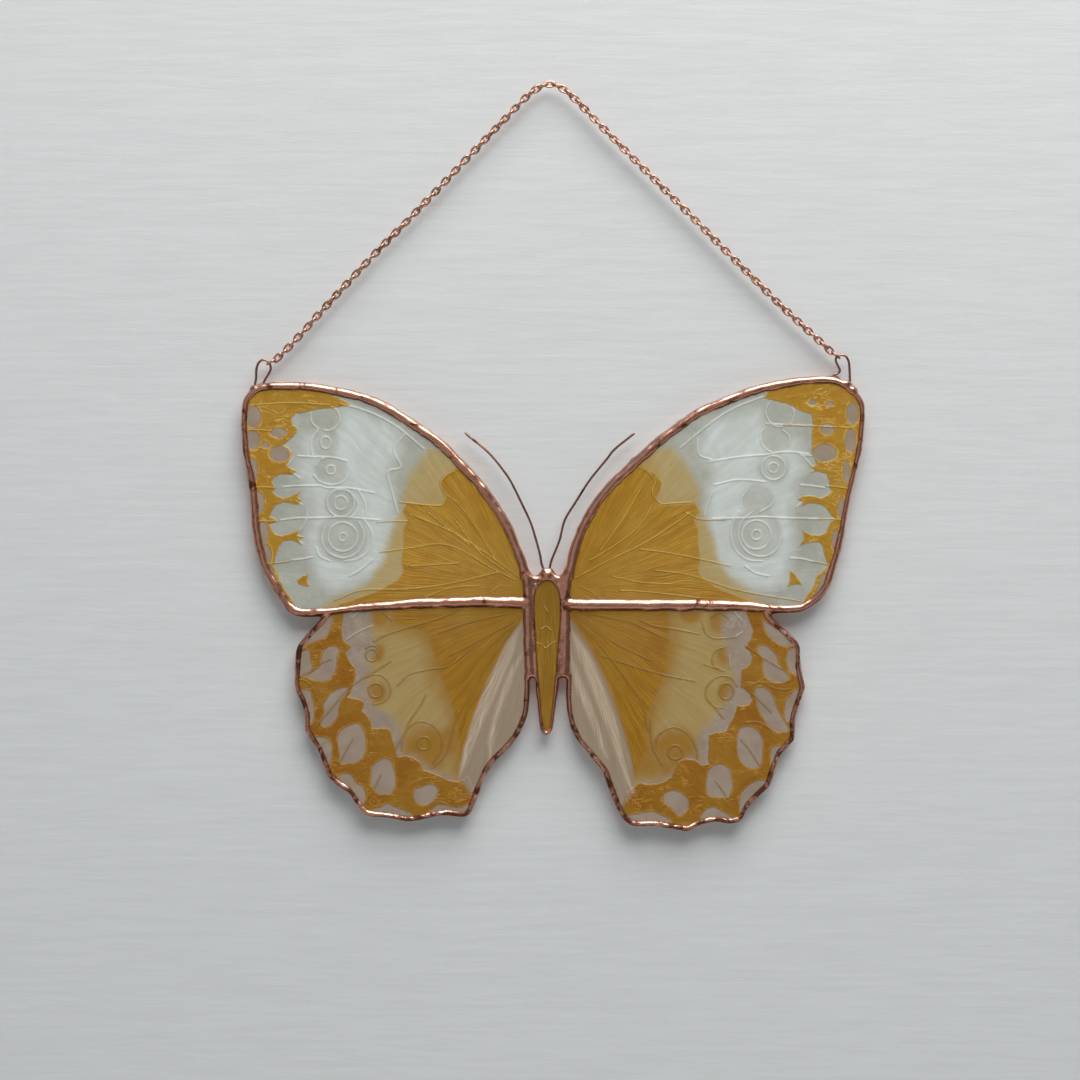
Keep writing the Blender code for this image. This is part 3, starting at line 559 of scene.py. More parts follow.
class GlassSettings(bpy.types.PropertyGroup):
    """Sizes and colours of the panes."""
    mesh_step: length_setting("Mesh Step", "Distance between the points of a pane's face", 0.00034)
    relief: length_setting("Relief", "Height of the raised veins and rings", 0.00018)
    forewing_amber: colour_setting("Forewing Amber", "Colour of the forewings' paint", (0.52, 0.265, 0.015))
    hindwing_amber: colour_setting(
        "Hindwing Amber", "Colour of the hindwings' paint", (0.435, 0.205, 0.006))
    margin_amber: colour_setting(
        "Margin Amber", "Colour of the hindwings' thick outer paint", (0.375, 0.147, 0.003))
    pale_amber: colour_setting("Pale Amber", "Colour of the thin paint", (0.58, 0.43, 0.17))
    warm_pale: colour_setting("Warm Pale", "Colour of the hindwings' thin paint", (0.53, 0.38, 0.13))
    body_amber: colour_setting("Body Amber", "Colour of the body's paint", (0.37, 0.185, 0.012))
    # The forewings' vein colour is partly the veins' own gold and partly a painted highlight on their raised
    # ridges
    yellow_vein: colour_setting("Yellow Vein", "Colour of the forewings' veins", (0.98, 0.68, 0.10))
    olive_vein: colour_setting("Olive Vein", "Colour of the hindwings' veins", (0.50, 0.27, 0.02))
    dark_vein: colour_setting("Dark Vein", "Colour of the shade beside a vein", (0.16, 0.09, 0.02))
    frost: colour_setting("Frost", "Colour of the frosted glass", (0.54, 0.55, 0.48))
    milk: colour_setting("Milk", "Colour of the milky glass", (0.79, 0.85, 0.82))
    # The clear glass colour is that of the wall seen through it in the panes' shadow: painted shade
    lilac: colour_setting("Lilac", "Colour of the clear glass", (0.45, 0.35, 0.265))
    pearl: colour_setting("Pearl", "Colour of the feathered inner margins", (0.44, 0.345, 0.24))


class ChainSettings(bpy.types.PropertyGroup):
    """Sizes and colours of the chain."""
    link_length: length_setting("Link Length", "Length of a link outside", 0.0042)
    link_width: length_setting("Link Width", "Width of a link outside", 0.0026)
    link_wire: length_setting("Link Wire", "Diameter of a link's wire", 0.00074)
    copper: colour_setting("Chain Copper", "Colour of the bright copper chain", (0.64, 0.345, 0.24))


class StageSettings(bpy.types.PropertyGroup):
    """The wall, the floor, the lights and the camera."""
    wall: colour_setting("Wall", "Colour of the wall and the floor", (0.70, 0.72, 0.725))
    wall_gap: length_setting("Wall Gap", "Distance from the glass's middle to the wall", 0.0042, 4)
    view_width: length_setting("View Width", "Width that the camera sees at the glass", 0.3456, 4)


def settings(name):
    return getattr(bpy.context.scene, "butterfly_" + name)


# Drawing helpers

def plan(points):
    """Points of the pattern's plan as millimetres (x, z)."""
    return [
        ((x - PLAN_ORIGIN[0]) * PLAN_SQUARE, (PLAN_ORIGIN[1] - y) * PLAN_SQUARE) for x, y in points
    ]


def smooth(points, step):
    """Points a step apart on the rounded curve through the given ones."""
    given = np.array(points, float)
    knots = np.vstack([2 * given[0] - given[1], given, 2 * given[-1] - given[-2]])
    fine = []
    for i in range(1, len(knots) - 2):
        a, b, c, d = knots[i - 1 : i + 3]
        for t in np.linspace(0.0, 1.0, 16, endpoint=False):
            bend = (2 * a - 5 * b + 4 * c - d) * t**2 + (3 * b - a - 3 * c + d) * t**3
            fine.append(0.5 * (2 * b + (c - a) * t + bend))
    fine = np.array(fine + [given[-1]])
    travel = distances(fine)
    count = max(2, round(travel[-1] / step))
    stops = np.linspace(0.0, travel[-1], count + 1)
    return np.stack([np.interp(stops, travel, fine[:, k]) for k in (0, 1)], axis=1)


def distances(line):
    """The way from a line's start to each of its points."""
    return np.concatenate([[0.0], np.cumsum(np.linalg.norm(np.diff(line, axis=0), axis=1))])


def smooth_runs(runs, step):
    """Runs that meet at corners, each smoothed by itself, as one line."""
    parts = [smooth(run, step) for run in runs]
    return np.vstack([parts[0]] + [part[1:] for part in parts[1:]])


def headings(line, closed=False):
    """The unit way of travel at each point of a line."""
    if closed:
        ways = np.roll(line, -1, axis=0) - np.roll(line, 1, axis=0)
    else:
        ways = np.gradient(line, axis=0)
    return ways / np.linalg.norm(ways, axis=1, keepdims=True)


def wander(line, scale, seed):
    """A value between -1 and 1 at each point of a line, that changes slowly along it."""
    return np.array([noise.noise(Vector((x / scale, z / scale, seed))) for x, z in line]) * 1.6


# Mesh helpers

def sweep(rings, closed=False):
    """A bmesh tube through the given rings of points in metres, capped unless it is closed."""
    shape = bmesh.new()
    start = bmesh.ops.create_circle(shape, cap_ends=False, segments=len(rings[0]), radius=1.0)["verts"]
    current = list(start)
    for corner, place in zip(current, rings[0]):
        corner.co = place
    first_edges = list(shape.edges)
    edges = first_edges
    for ring in rings[1:]:
        places = {tuple(corner.co): i for i, corner in enumerate(current)}
        made = bmesh.ops.extrude_edge_only(shape, edges=edges)["geom"]
        fresh = [None] * len(current)
        for corner in (g for g in made if isinstance(g, bmesh.types.BMVert)):
            fresh[places[tuple(corner.co)]] = corner
        kept = set(fresh)
        edges = [
            g for g in made
            if isinstance(g, bmesh.types.BMEdge) and g.verts[0] in kept and g.verts[1] in kept
        ]
        for corner, place in zip(fresh, ring):
            corner.co = place
        current = fresh
    if closed:
        bmesh.ops.bridge_loops(shape, edges=first_edges + edges)
    else:
        for cap in (first_edges, edges):
            bmesh.ops.contextual_create(shape, geom=cap)
    bmesh.ops.recalc_face_normals(shape, faces=shape.faces)
    return shape


def join_shape(target, shape):
    """Adds a finished bmesh to another and frees it."""
    mesh = bpy.data.meshes.new("part")
    shape.to_mesh(mesh)
    shape.free()
    target.from_mesh(mesh)
    bpy.data.meshes.remove(mesh)


def bead_rings(line, inner, outer, depth, sides, squareness, closed, inside):
    """Rings of a solder bead in metres. Inner and outer are half widths, and depth a half depth."""
    power = 2.0 / squareness
    rings = []
    ways = headings(line, closed)
    for point, way, near, far, deep in zip(line, ways, inner, outer, depth):
        across = np.array([-way[1], way[0]]) * inside
        ring = []
        for i in range(sides):
            angle = 2 * math.pi * (i + 0.5) / sides
            c, s = math.cos(angle), math.sin(angle)
            width = near if c > 0 else far
            side = width * math.copysign(abs(c) ** power, c)
            front = deep * math.copysign(abs(s) ** power, s)
            place = point + across * side
            ring.append(Vector((place[0], -front, place[1])) * MILLIMETRE)
        rings.append(ring)
    return rings


def add_bead(
        target, line, inner, outer, depth, seed, inside=1.0, closed=False, squareness=2.4, ragged=0.16):
    """Adds a bead of solder along a line to a bmesh, uneven as hand-laid solder is."""
    near = inner * (1.0 + ragged * wander(line, 1.2, seed) + 0.1 * wander(line, 6.0, seed + 4.0))
    far = outer * (1.0 + 0.05 * wander(line, 2.6, seed + 9.0))
    deep = depth * (1.0 + 0.05 * wander(line, 3.5, seed + 2.0))
    near, far, deep = (np.broadcast_to(values, (len(line),)) for values in (near, far, deep))
    sides = settings("solder").bead_sides
    join_shape(target, sweep(bead_rings(line, near, far, deep, sides, squareness, closed, inside), closed))


def wire_rings(line, radii, sides):
    """Rings of a round wire in metres."""
    rings = []
    for point, way, radius in zip(line, headings(line), radii):
        across = (-way[1], way[0])
        rings.append([
            Vector((
                point[0] + across[0] * radius * math.cos(a),
                radius * math.sin(a),
                point[1] + across[1] * radius * math.cos(a),
            )) * MILLIMETRE
            for a in (2 * math.pi * (i + 0.5) / sides for i in range(sides))
        ])
    return rings


def add_blob(target, middle, radii):
    """Adds a rounded lump to a bmesh, with its middle on the glass's middle plane."""
    made = bmesh.ops.create_icosphere(target, subdivisions=3, radius=1.0)["verts"]
    bmesh.ops.scale(target, vec=Vector(radii) * MILLIMETRE, verts=made)
    bmesh.ops.translate(target, vec=Vector((middle[0], 0.0, middle[1])) * MILLIMETRE, verts=made)


def new_object(name, shape, materials=()):
    """A smooth-shaded object from a bmesh, at the origin."""
    mesh = bpy.data.meshes.new(name)
    shape.to_mesh(mesh)
    shape.free()
    for face in mesh.polygons:
        face.use_smooth = True
    for material in materials:
        mesh.materials.append(material)
    piece = bpy.data.objects.new(name, mesh)
    bpy.context.scene.collection.objects.link(piece)
    return piece


def store_fields(piece, fields):
    """Keeps a value for each of a piece's points under each field's name, for its material to read."""
    for name, values in fields.items():
        layer = piece.data.attributes.new(name, "FLOAT", "POINT")
        layer.data.foreach_set("value", values.astype(np.float32))


def finish_piece(piece, slot, body, *nodes):
    """Puts a finished piece on its body's empty, so that it moves with it, and hides the CAD nodes that it
    replaces.
    """
    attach(piece, body)
    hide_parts(*nodes)


def remesh(name, shape, voxel):
    """One closed bmesh round everything in the given one."""
    raw = new_object(name + "_raw", shape)
    modifier = raw.modifiers.new("fuse", "REMESH")
    modifier.mode = "VOXEL"
    modifier.voxel_size = voxel
    depsgraph = bpy.context.evaluated_depsgraph_get()
    fused = bpy.data.meshes.new_from_object(raw.evaluated_get(depsgraph))
    result = bmesh.new()
    result.from_mesh(fused)
    bpy.data.meshes.remove(fused)
    bpy.data.objects.remove(raw)
    return result


def soften(shape, height):
    """Smooths a remeshed bmesh and raises low lumps on it, of the given height in metres."""
    for _ in range(SMOOTHINGS):
        bmesh.ops.smooth_vert(
            shape, verts=shape.verts, factor=0.5, use_axis_x=True, use_axis_y=True, use_axis_z=True)
    shape.normal_update()
    lump = height / MILLIMETRE
    moves = []
    for corner in shape.verts:
        place = corner.co / MILLIMETRE
        coarse = noise.noise(place / COARSE_LUMP)
        mid = noise.noise(place / FINE_LUMP + Vector((7.0, 3.0, 1.0)))
        moves.append(corner.normal * (lump * (0.9 * coarse + 0.3 * mid)) * MILLIMETRE)
    for corner, move in zip(shape.verts, moves):
        corner.co += move


# Material helpers

class Nodes:
    """A short way to add and link nodes in one tree."""

    def __init__(self, tree):
        self.tree = tree

    def add(self, kind, **values):
        made = self.tree.nodes.new(kind)
        for key, value in values.items():
            setattr(made, key, value)
        return made

    def link(self, source, target):
        self.tree.links.new(source, target)

    def put(self, value, socket):
        if isinstance(value, bpy.types.NodeSocket):
            self.link(value, socket)
        elif socket.type == "RGBA":
            socket.default_value = (*value, 1.0)
        else:
            socket.default_value = value

    def fill(self, node, **values):
        for name, value in values.items():
            self.put(value, node.inputs[name.replace("_", " ")])
        return node

    def math(self, operation, a, b=0.0, clamp=False):
        made = self.add("ShaderNodeMath", operation=operation, use_clamp=clamp)
        self.put(a, made.inputs[0])
        self.put(b, made.inputs[1])
        return made.outputs[0]

    def plus(self, a, b):
        return self.math("ADD", a, b)

    def times(self, a, b, clamp=False):
        return self.math("MULTIPLY", a, b, clamp)

    def less(self, a, b, clamp=False):
        return self.math("SUBTRACT", a, b, clamp)

    def most(self, a, b, clamp=False):
        return self.math("MAXIMUM", a, b, clamp)

    def size(self, value):
        return self.math("ABSOLUTE", value)

    def vector(self, operation, a, b):
        made = self.add("ShaderNodeVectorMath", operation=operation)
        self.put(a, made.inputs[0])
        self.put(b, made.inputs[1])
        return made.outputs["Vector"]

    def split(self, vector):
        made = self.add("ShaderNodeSeparateXYZ")
        self.link(vector, made.inputs[0])
        return made.outputs

    def mix(self, share, a, b, data_type="RGBA"):
        made = self.add("ShaderNodeMix", data_type=data_type)
        return self.fill(made, Factor=share, A=a, B=b).outputs["Result"]

    def blend(self, share, a, b):
        return self.mix(share, a, b, "FLOAT")

    def ramp(self, value, low, high, to_low=0.0, to_high=1.0):
        made = self.add("ShaderNodeMapRange", interpolation_type="SMOOTHSTEP")
        self.fill(made, Value=value, From_Min=low, From_Max=high, To_Min=to_low, To_Max=to_high)
        return made.outputs["Result"]

    def noise(self, vector, scale, detail=3.0, roughness=0.55, distortion=0.0):
        made = self.add("ShaderNodeTexNoise")
        self.fill(
            made, Vector=vector, Scale=scale, Detail=detail, Roughness=roughness, Distortion=distortion)
        return made.outputs["Fac"]

    def field(self, name):
        return self.add("ShaderNodeAttribute", attribute_name=name).outputs["Fac"]

    def group(self, name, build, **values):
        """A node with the named group, which the given function builds the first time."""
        tree = bpy.data.node_groups.get(name) or build(name)
        return self.fill(self.add("ShaderNodeGroup", node_tree=tree), **values).outputs

    def relief(self, shader, height, strength, distance):
        made = self.fill(self.add("ShaderNodeBump"), Strength=strength, Distance=distance, Height=height)
        self.link(made.outputs["Normal"], shader.inputs["Normal"])


def new_group(name, inputs, outputs):
    """An empty shader node group with named sockets, and its helper, input and output nodes."""
    tree = bpy.data.node_groups.new(name, "ShaderNodeTree")
    for direction, sockets in (("INPUT", inputs), ("OUTPUT", outputs)):
        for socket_name, kind in sockets.items():
            tree.interface.new_socket(name=socket_name, in_out=direction, socket_type="NodeSocket" + kind)
    make = Nodes(tree)
    return make, make.add("NodeGroupInput").outputs, make.add("NodeGroupOutput").inputs


def strokes_group(name):
    """Fine brush strokes that run out from a wing's root, broad ones and single fibres."""
    make, given, result = new_group(
        name, {"Place": "Vector", "Fineness": "Float"}, {"Stroke": "Float", "Fibre": "Float"})
    split = make.split(given["Place"])
    angle = make.math("ARCTAN2", split["Z"], make.size(split["X"]))
    radius = make.add("ShaderNodeVectorMath", operation="LENGTH")
    make.link(given["Place"], radius.inputs[0])
    wavy = make.noise(given["Place"], 70.0, 2.0)
    bent = make.plus(angle, make.times(wavy, 0.07))
    for output, fineness, along, low, high in (
        ("Stroke", 1.0, 45.0, 0.3, 0.7), ("Fibre", 3.4, 90.0, 0.28, 0.72),
    ):
        fan = make.add("ShaderNodeCombineXYZ")
        make.link(make.times(bent, make.times(given["Fineness"], fineness)), fan.inputs["X"])
        make.link(make.times(radius.outputs["Value"], along), fan.inputs["Y"])
        streaks = make.noise(fan.outputs["Vector"], 1.0, 3.0, 0.6)
        make.link(make.ramp(streaks, low, high), result[output])
    return make.tree


def dabs_group(name):
    """Short dabs of thick paint: a height, and a mask of the ridges that they leave."""
    make, given, result = new_group(name, {"Place": "Vector"}, {"Height": "Float", "Ridge": "Float"})
    stretch = make.vector("MULTIPLY", given["Place"], (0.7, 1.0, 1.6))
    broad = make.noise(stretch, 150.0, 2.0, 0.5, 2.2)
    sparse = make.noise(given["Place"], 160.0, 2.0)
    fine = make.noise(given["Place"], 950.0, 3.0, 0.6, 0.8)
    height = make.plus(make.times(broad, 0.7), make.times(fine, 0.3))
    away = make.size(make.less(broad, 0.5))
    ridges = make.times(make.ramp(away, 0.042, 0.0), make.ramp(sparse, 0.45, 0.62))
    make.link(make.plus(height, make.times(ridges, 0.35)), result["Height"])
    make.link(ridges, result["Ridge"])
    return make.tree


def tarnish_and_shade_group(name):
    """Where copper is darkened: tarnished patches and pits, and painted shade where the Extra input asks."""
    make, given, result = new_group(
        name, {"Place": "Vector", "Size": "Float", "Amount": "Float", "Extra": "Float"},
        {"Tarnish_And_Shade": "Float", "Height": "Float"})
    scale = make.math("DIVIDE", 1.0, given["Size"])
    patches = make.noise(given["Place"], scale, 4.0, 0.65, 0.6)
    specks = make.noise(given["Place"], make.times(scale, 3.7), 3.0, 0.6)
    patch_mask = make.ramp(make.plus(patches, make.times(given["Amount"], 0.25)), 0.58, 0.72)
    speck_mask = make.ramp(specks, 0.66, 0.74)
    both = make.most(patch_mask, make.times(speck_mask, 0.9))
    # Painted shade from the Extra input, broken up by the patches
    edge = make.times(given["Extra"], make.ramp(patches, 0.22, 0.5))
    make.link(make.most(both, edge, clamp=True), result["Tarnish_And_Shade"])
    make.link(make.plus(make.times(patches, 0.5), make.times(speck_mask, -0.5)), result["Height"])
    return make.tree


def start_material(name):
    """A material with its Principled shader, its helper and its Object coordinates."""
    material = bpy.data.materials.new(name)
    material.use_nodes = True
    make = Nodes(material.node_tree)
    shader = material.node_tree.nodes["Principled BSDF"]
    place = make.add("ShaderNodeTexCoord").outputs["Object"]
    return material, make, shader, place


def scaled(colour, *factors):
    """A colour with its channels multiplied, by one factor or by one each, and none past 1."""
    return tuple(min(1.0, c * f) for c, f in zip(colour, factors * (3 // len(factors))))


def copper_material(name, copper, tarnish_shade_colour, size, amount, roughness, bump=0.00003, solder=False):
    """Copper with tarnished patches and pits; on solder, a painted highlight lightens the tops, and painted
    shade darkens the undersides and the crevice along the glass.
    """
    material, make, shader, place = start_material(name)
    painted_shade = 0.0
    if solder:
        # Painted shade: down-facing undersides are darkened, and so is the foil's crevice where the bead meets
        # the glass, which also stands for dark flux there
        facing = make.field("facing")
        foil = make.ramp(make.size(make.split(place)["Y"]), 0.0019, 0.0014, 0.0, 0.7)
        painted_shade = make.most(make.ramp(facing, -0.2, -0.7), foil)
        amount = make.plus(make.times(make.field("age"), 0.42), amount)
    darkening = make.group("copper_tarnish_and_shade", tarnish_and_shade_group, Place=place, Size=size, Amount=amount, Extra=painted_shade)
    mask = darkening["Tarnish_And_Shade"]
    warm = make.noise(place, 260.0, 3.0)
    clean = make.mix(make.ramp(warm, 0.35, 0.7), copper, scaled(copper, 1.12, 1.18, 1.2))
    if solder:
        # Painted highlight: up-facing tops are lightened towards a pale pink copper
        painted_highlight = make.times(make.ramp(facing, 0.2, 0.75), 0.7)
        clean = make.mix(painted_highlight, clean, PAINTED_HIGHLIGHT_COPPER)
    make.put(make.mix(mask, clean, tarnish_shade_colour), shader.inputs["Base Color"])
    make.put(make.blend(mask, *roughness), shader.inputs["Roughness"])
    shader.inputs["Metallic"].default_value = 1.0
    make.relief(shader, darkening["Height"], 0.7, bump)
    return material


def pane_material(name, root, paints):
    """Painted and frosted glass whose zones follow the pane's own fields."""
    amber, margin, ground, pale, vein, fan_edge, line_strength = paints
    glass = settings("glass")
    material, make, shader, place = start_material(name)
    from_root = make.vector("SUBTRACT", place, (root[0] * MILLIMETRE, 0.0, root[1] * MILLIMETRE))
    strokes = make.group("brush_strokes", strokes_group, Place=from_root, Fineness=BRUSH_FINENESS)
    stroke, fibre = strokes["Stroke"], strokes["Fibre"]
    dabs = make.group("paint_dabs", dabs_group, Place=place)

    # Masks of the zones, with ragged or misty edges
    edge_noise = make.noise(place, 1000.0, 3.0, 0.6)
    ragged = make.times(make.less(edge_noise, 0.5), 0.8)
    patchy = make.noise(place, 130.0, 3.0, 0.5, 0.5)
    uneven = make.times(make.less(patchy, 0.5), 5.0)
    amber_depth = make.plus(make.field("amber"), ragged)
    margin_mask = make.ramp(amber_depth, -0.26, 0.26)
    fan_depth = make.plus(make.field("fan"), make.times(uneven, fan_edge))
    fan_mask = make.ramp(fan_depth, -0.2 - 1.6 * fan_edge, 0.2 + 1.6 * fan_edge)
    amber_mask = make.most(margin_mask, fan_mask)
    pale_mask = make.ramp(make.plus(make.field("pale"), uneven), -1.6, 2.6)
    window_depth = make.plus(make.field("window"), make.times(ragged, 0.7))
    window_mask = make.ramp(window_depth, -0.36, 0.36)

    # Frosted and milky glass
    streak = make.times(stroke, make.ramp(patchy, 0.2, 0.75))
    wisps = make.noise(place, 420.0, 3.0, 0.6, 1.0)
    milk = make.times(make.field("milk"), make.ramp(streak, 0.0, 0.8, 0.62, 1.0), clamp=True)
    cloudy = make.mix(make.ramp(patchy, 0.3, 0.7), scaled(ground, 0.9), scaled(ground, 1.08))
    base = make.mix(milk, cloudy, glass.milk)
    base = make.mix(make.ramp(wisps, 0.45, 0.75, 0.0, 0.2), base, scaled(glass.milk, 1.05))

    # Thin paint, that deepens towards the fan and round the rings
    wash = make.ramp(make.noise(place, 62.0, 2.0, 0.5, 0.8), 0.36, 0.66)
    thin = make.mix(stroke, scaled(pale, 0.94, 0.92, 0.86), scaled(pale, 1.08, 1.09, 1.14))
    near_fan = make.ramp(make.field("fan"), -8.0, -0.5, 0.0, fan_edge * 2.2)
    near_fan = make.most(near_fan, make.times(make.field("glow"), 0.95))
    thin = make.mix(make.times(make.most(near_fan, wash), near_fan), thin, amber)
    thin = make.mix(make.times(make.ramp(patchy, 0.4, 0.7), 0.16), thin, scaled(ground, 1.2, 1.24, 1.0))
    colour = make.mix(make.times(pale_mask, 0.95), base, thin)

    # Amber paint: strokes in the fan, dabs in the margin
    paint = make.mix(stroke, scaled(amber, 0.86, 0.8, 0.7), scaled(amber, 1.12, 1.16, 1.3))
    # Painted highlight: the fibres' ridges are lightened to a bright yellow amber
    fibre_highlight = make.ramp(fibre, 0.62, 0.86)
    paint = make.mix(make.times(fibre_highlight, 0.6), paint, scaled(amber, 1.4, 1.62, 2.6))
    paint = make.mix(make.times(make.ramp(patchy, 0.5, 0.72), 0.45), paint, scaled(amber, 0.82, 0.72, 0.6))
    thick = make.mix(dabs["Height"], scaled(margin, 0.8, 0.7, 0.6), scaled(margin, 1.2, 1.32, 1.6))
    # Painted highlight along the dabs' ridges, in a bright yellow amber
    thick = make.mix(make.times(dabs["Ridge"], 0.75), thick, scaled(margin, 1.75, 2.3, 9.0))
    paint = make.mix(make.times(wash, 0.14), paint, scaled(pale, 1.0, 0.92, 0.4))
    thick = make.mix(make.times(wash, 0.3), thick, scaled(pale, 0.98, 0.82, 0.25))
    colour = make.mix(fan_mask, colour, paint)
    colour = make.mix(margin_mask, colour, thick)
    # Painted highlight along the edge of the thick amber paint
    amber_edge_highlight = make.ramp(make.size(make.less(amber_depth, 0.1)), 0.22, 0.04)
    colour = make.mix(make.times(amber_edge_highlight, 0.4), colour, scaled(margin, 1.5, 1.8, 3.0))

    # Clear windows, coloured as the wall seen through them in the pane's shadow (painted shade), and a painted
    # highlight along their edges
    cloud = make.ramp(patchy, 0.3, 0.7)
    clear = make.mix(cloud, scaled(glass.lilac, 0.94), scaled(glass.lilac, 1.08, 1.12, 1.16))
    colour = make.mix(window_mask, colour, clear)
    # Painted highlight: a broken gold line along each window's edge
    cell_edge_highlight = make.ramp(make.size(make.plus(window_depth, 0.35)), 0.3, 0.06)
    cell_edge_highlight = make.times(cell_edge_highlight, make.ramp(wisps, 0.42, 0.6, 0.0, 0.7))
    colour = make.mix(cell_edge_highlight, colour, scaled(margin, 1.8, 2.3, 7.0))

    # Feathered inner margin
    silk = make.mix(fibre, scaled(glass.pearl, 0.92, 0.9, 0.86), scaled(glass.pearl, 1.08, 1.1, 1.13))
    colour = make.mix(make.field("pearl"), colour, silk)
    thread = make.times(make.field("spindle"), make.ramp(fibre, 0.1, 0.9, 0.2, 1.0))
    colour = make.mix(thread, colour, THREAD)

    # Raised lines and veins
    broken = make.ramp(wisps, 0.28, 0.5, 0.35, 1.0)
    line_mask = make.ramp(make.field("line"), -0.12, 0.14)
    # On the amber, the raised lines are a brightened amber, a painted highlight; elsewhere they are white
    line_colour = make.mix(amber_mask, WHITE_LINE_COLOUR, scaled(amber, 1.7, 2.0, 3.4))
    colour = make.mix(make.times(line_mask, make.times(broken, line_strength)), colour, line_colour)
    vein_mask = make.ramp(make.field("vein"), -0.1, 0.12)
    vein_shade = make.ramp(make.field("vein"), -0.55, -0.1)
    colour = make.mix(make.times(vein_shade, make.times(broken, 0.3)), colour, glass.dark_vein)
    # Vein colour: on the forewings and the body partly a painted highlight on the raised ridge, on the
    # hindwings their own dark olive
    colour = make.mix(make.times(vein_mask, make.times(broken, 0.85)), colour, vein)
    make.put(colour, shader.inputs["Base Color"])

    rough = make.blend(amber_mask, make.blend(milk, 0.34, 0.5), make.ramp(stroke, 0.0, 1.0, 0.4, 0.5))
    rough = make.blend(vein_mask, rough, 0.7)
    make.put(make.blend(window_mask, rough, 0.14), shader.inputs["Roughness"])
    shader.inputs["IOR"].default_value = 1.45
    shader.inputs["Specular IOR Level"].default_value = 0.35
    shader.inputs["Transmission Weight"].default_value = 0.3

    height = make.times(fibre, make.blend(fan_mask, 0.15, 0.8))
    dab_height = make.times(dabs["Height"], make.less(margin_mask, fan_mask, clamp=True))
    dab_height = make.times(dab_height, make.less(1.0, window_mask, clamp=True))
    raised = make.ramp(make.most(make.field("line"), make.field("vein")), -0.25, 0.15)
    for layer, share in (
        (stroke, 0.25), (amber_mask, 0.45), (dab_height, 2.4), (raised, 0.9), (wisps, 0.18),
    ):
        height = make.plus(height, make.times(layer, share))
    make.relief(shader, height, 0.6, 0.0002)
    return material


# Panes

def pane_outline(node):
    """The outline of a CAD pane's front face, in millimetres (x, z), in order."""
    shape = bmesh.new()
    shape.from_mesh(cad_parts[node].data)
    bmesh.ops.remove_doubles(shape, verts=shape.verts, dist=0.000001)
    bmesh.ops.recalc_face_normals(shape, faces=shape.faces)
    front = {face for face in shape.faces if face.normal.y < -0.9}
    rim = {edge for edge in shape.edges if sum(face in front for face in edge.link_faces) == 1}
    edge = next(iter(rim))
    corner = edge.verts[0]
    outline = []
    while edge is not None:
        rim.discard(edge)
        outline.append((corner.co.x, corner.co.z))
        corner = edge.other_vert(corner)
        edge = next((e for e in corner.link_edges if e in rim), None)
    shape.free()
    return np.array(outline) / MILLIMETRE


def line_distance(places, line, closed=False, reach=ANY_REACH):
    """Distance from each place to a line, no more than the reach, and the nearest point on it."""
    line = np.array(line, float)
    ends = np.roll(line, -1, axis=0) if closed else line[1:]
    starts = line if closed else line[:-1]
    best = np.full(len(places), reach)
    nearest = places.copy()
    near = np.flatnonzero(np.all((places > line.min(0) - reach) & (places < line.max(0) + reach), axis=1))
    close, spots, few = best[near], nearest[near], places[near]
    for a, b in zip(starts, ends):
        way = b - a
        share = np.clip(((few - a) @ way) / max(way @ way, 1e-12), 0.0, 1.0)
        spot = a + share[:, None] * way
        distance = np.hypot(few[:, 0] - spot[:, 0], few[:, 1] - spot[:, 1])
        closer = distance < close
        close[closer] = distance[closer]
        spots[closer] = spot[closer]
    best[near], nearest[near] = close, spots
    return best, nearest


def inside_outline(places, outline):
    """True for the places inside a closed outline."""
    inside = np.zeros(len(places), bool)
    x, z = places[:, 0], places[:, 1]
    for (ax, az), (bx, bz) in zip(outline, np.roll(outline, -1, axis=0)):
        crosses = (az > z) != (bz > z)
        if az != bz:
            inside ^= crosses & (x < (bx - ax) * (z - az) / (bz - az) + ax)
    return inside


def depth_inside(places, outline, reach=ANY_REACH):
    """Distance to a closed outline, positive inside it, and no more than the reach outside."""
    outline = np.array(outline, float)
    depth = np.full(len(places), -reach)
    near = np.all((places > outline.min(0) - reach) & (places < outline.max(0) + reach), axis=1)
    distance, _ = line_distance(places[near], outline, closed=True)
    depth[near] = np.where(inside_outline(places[near], outline), distance, -distance)
    return depth


def zone_depth(places, outlines, rounding=None):
    """Depth inside any of the outlines, in millimetres, with their corners rounded if asked."""
    depth = np.full(len(places), -FIELD_REACH)
    for outline in outlines:
        drawn = plan(outline)
        if rounding:
            drawn = smooth(drawn + drawn[:1], rounding)[:-1]
        depth = np.maximum(depth, depth_inside(places, drawn, FIELD_REACH))
    return depth


def spot_depth(places, spots):
    """Depth inside any of the oval spots, in millimetres."""
    depth = np.full(len(places), -FIELD_REACH)
    for x, y, across, up in spots:
        (middle,) = plan([(x, y)])
        offset = (places - middle) / (np.array([across, up]) * PLAN_SQUARE)
        size = PLAN_SQUARE * min(across, up)
        depth = np.maximum(depth, (1.0 - np.linalg.norm(offset, axis=1)) * size)
    return depth


def ring_line(x, y, across, up):
    turns = [2 * math.pi * i / 28 for i in range(29)]
    return plan([(x + across * math.cos(t), y + up * math.sin(t)) for t in turns])


def raised_lines(pattern):
    """The white lines and the tinted veins of a pattern, each as (line, half width)."""
    white = [(smooth(plan(line), 0.8), WHITE_LINE) for line in pattern.get("lines", ())]
    white += [(ring_line(*ring), WHITE_RING) for ring in pattern.get("rings", ())]
    tinted = [(smooth(plan(line), 0.8), VEIN) for line in pattern["veins"]]
    tinted += [(ring_line(*ring), VEIN_RING) for ring in pattern.get("vein_rings", ())]
    return white, tinted


def line_depth(places, lines):
    """Half width of the nearest line less the distance to it, in millimetres."""
    depth = np.full(len(places), -LINE_REACH)
    for line, half_width in lines:
        distance, _ = line_distance(places, line, reach=LINE_REACH)
        depth = np.maximum(depth, half_width - distance)
    return depth


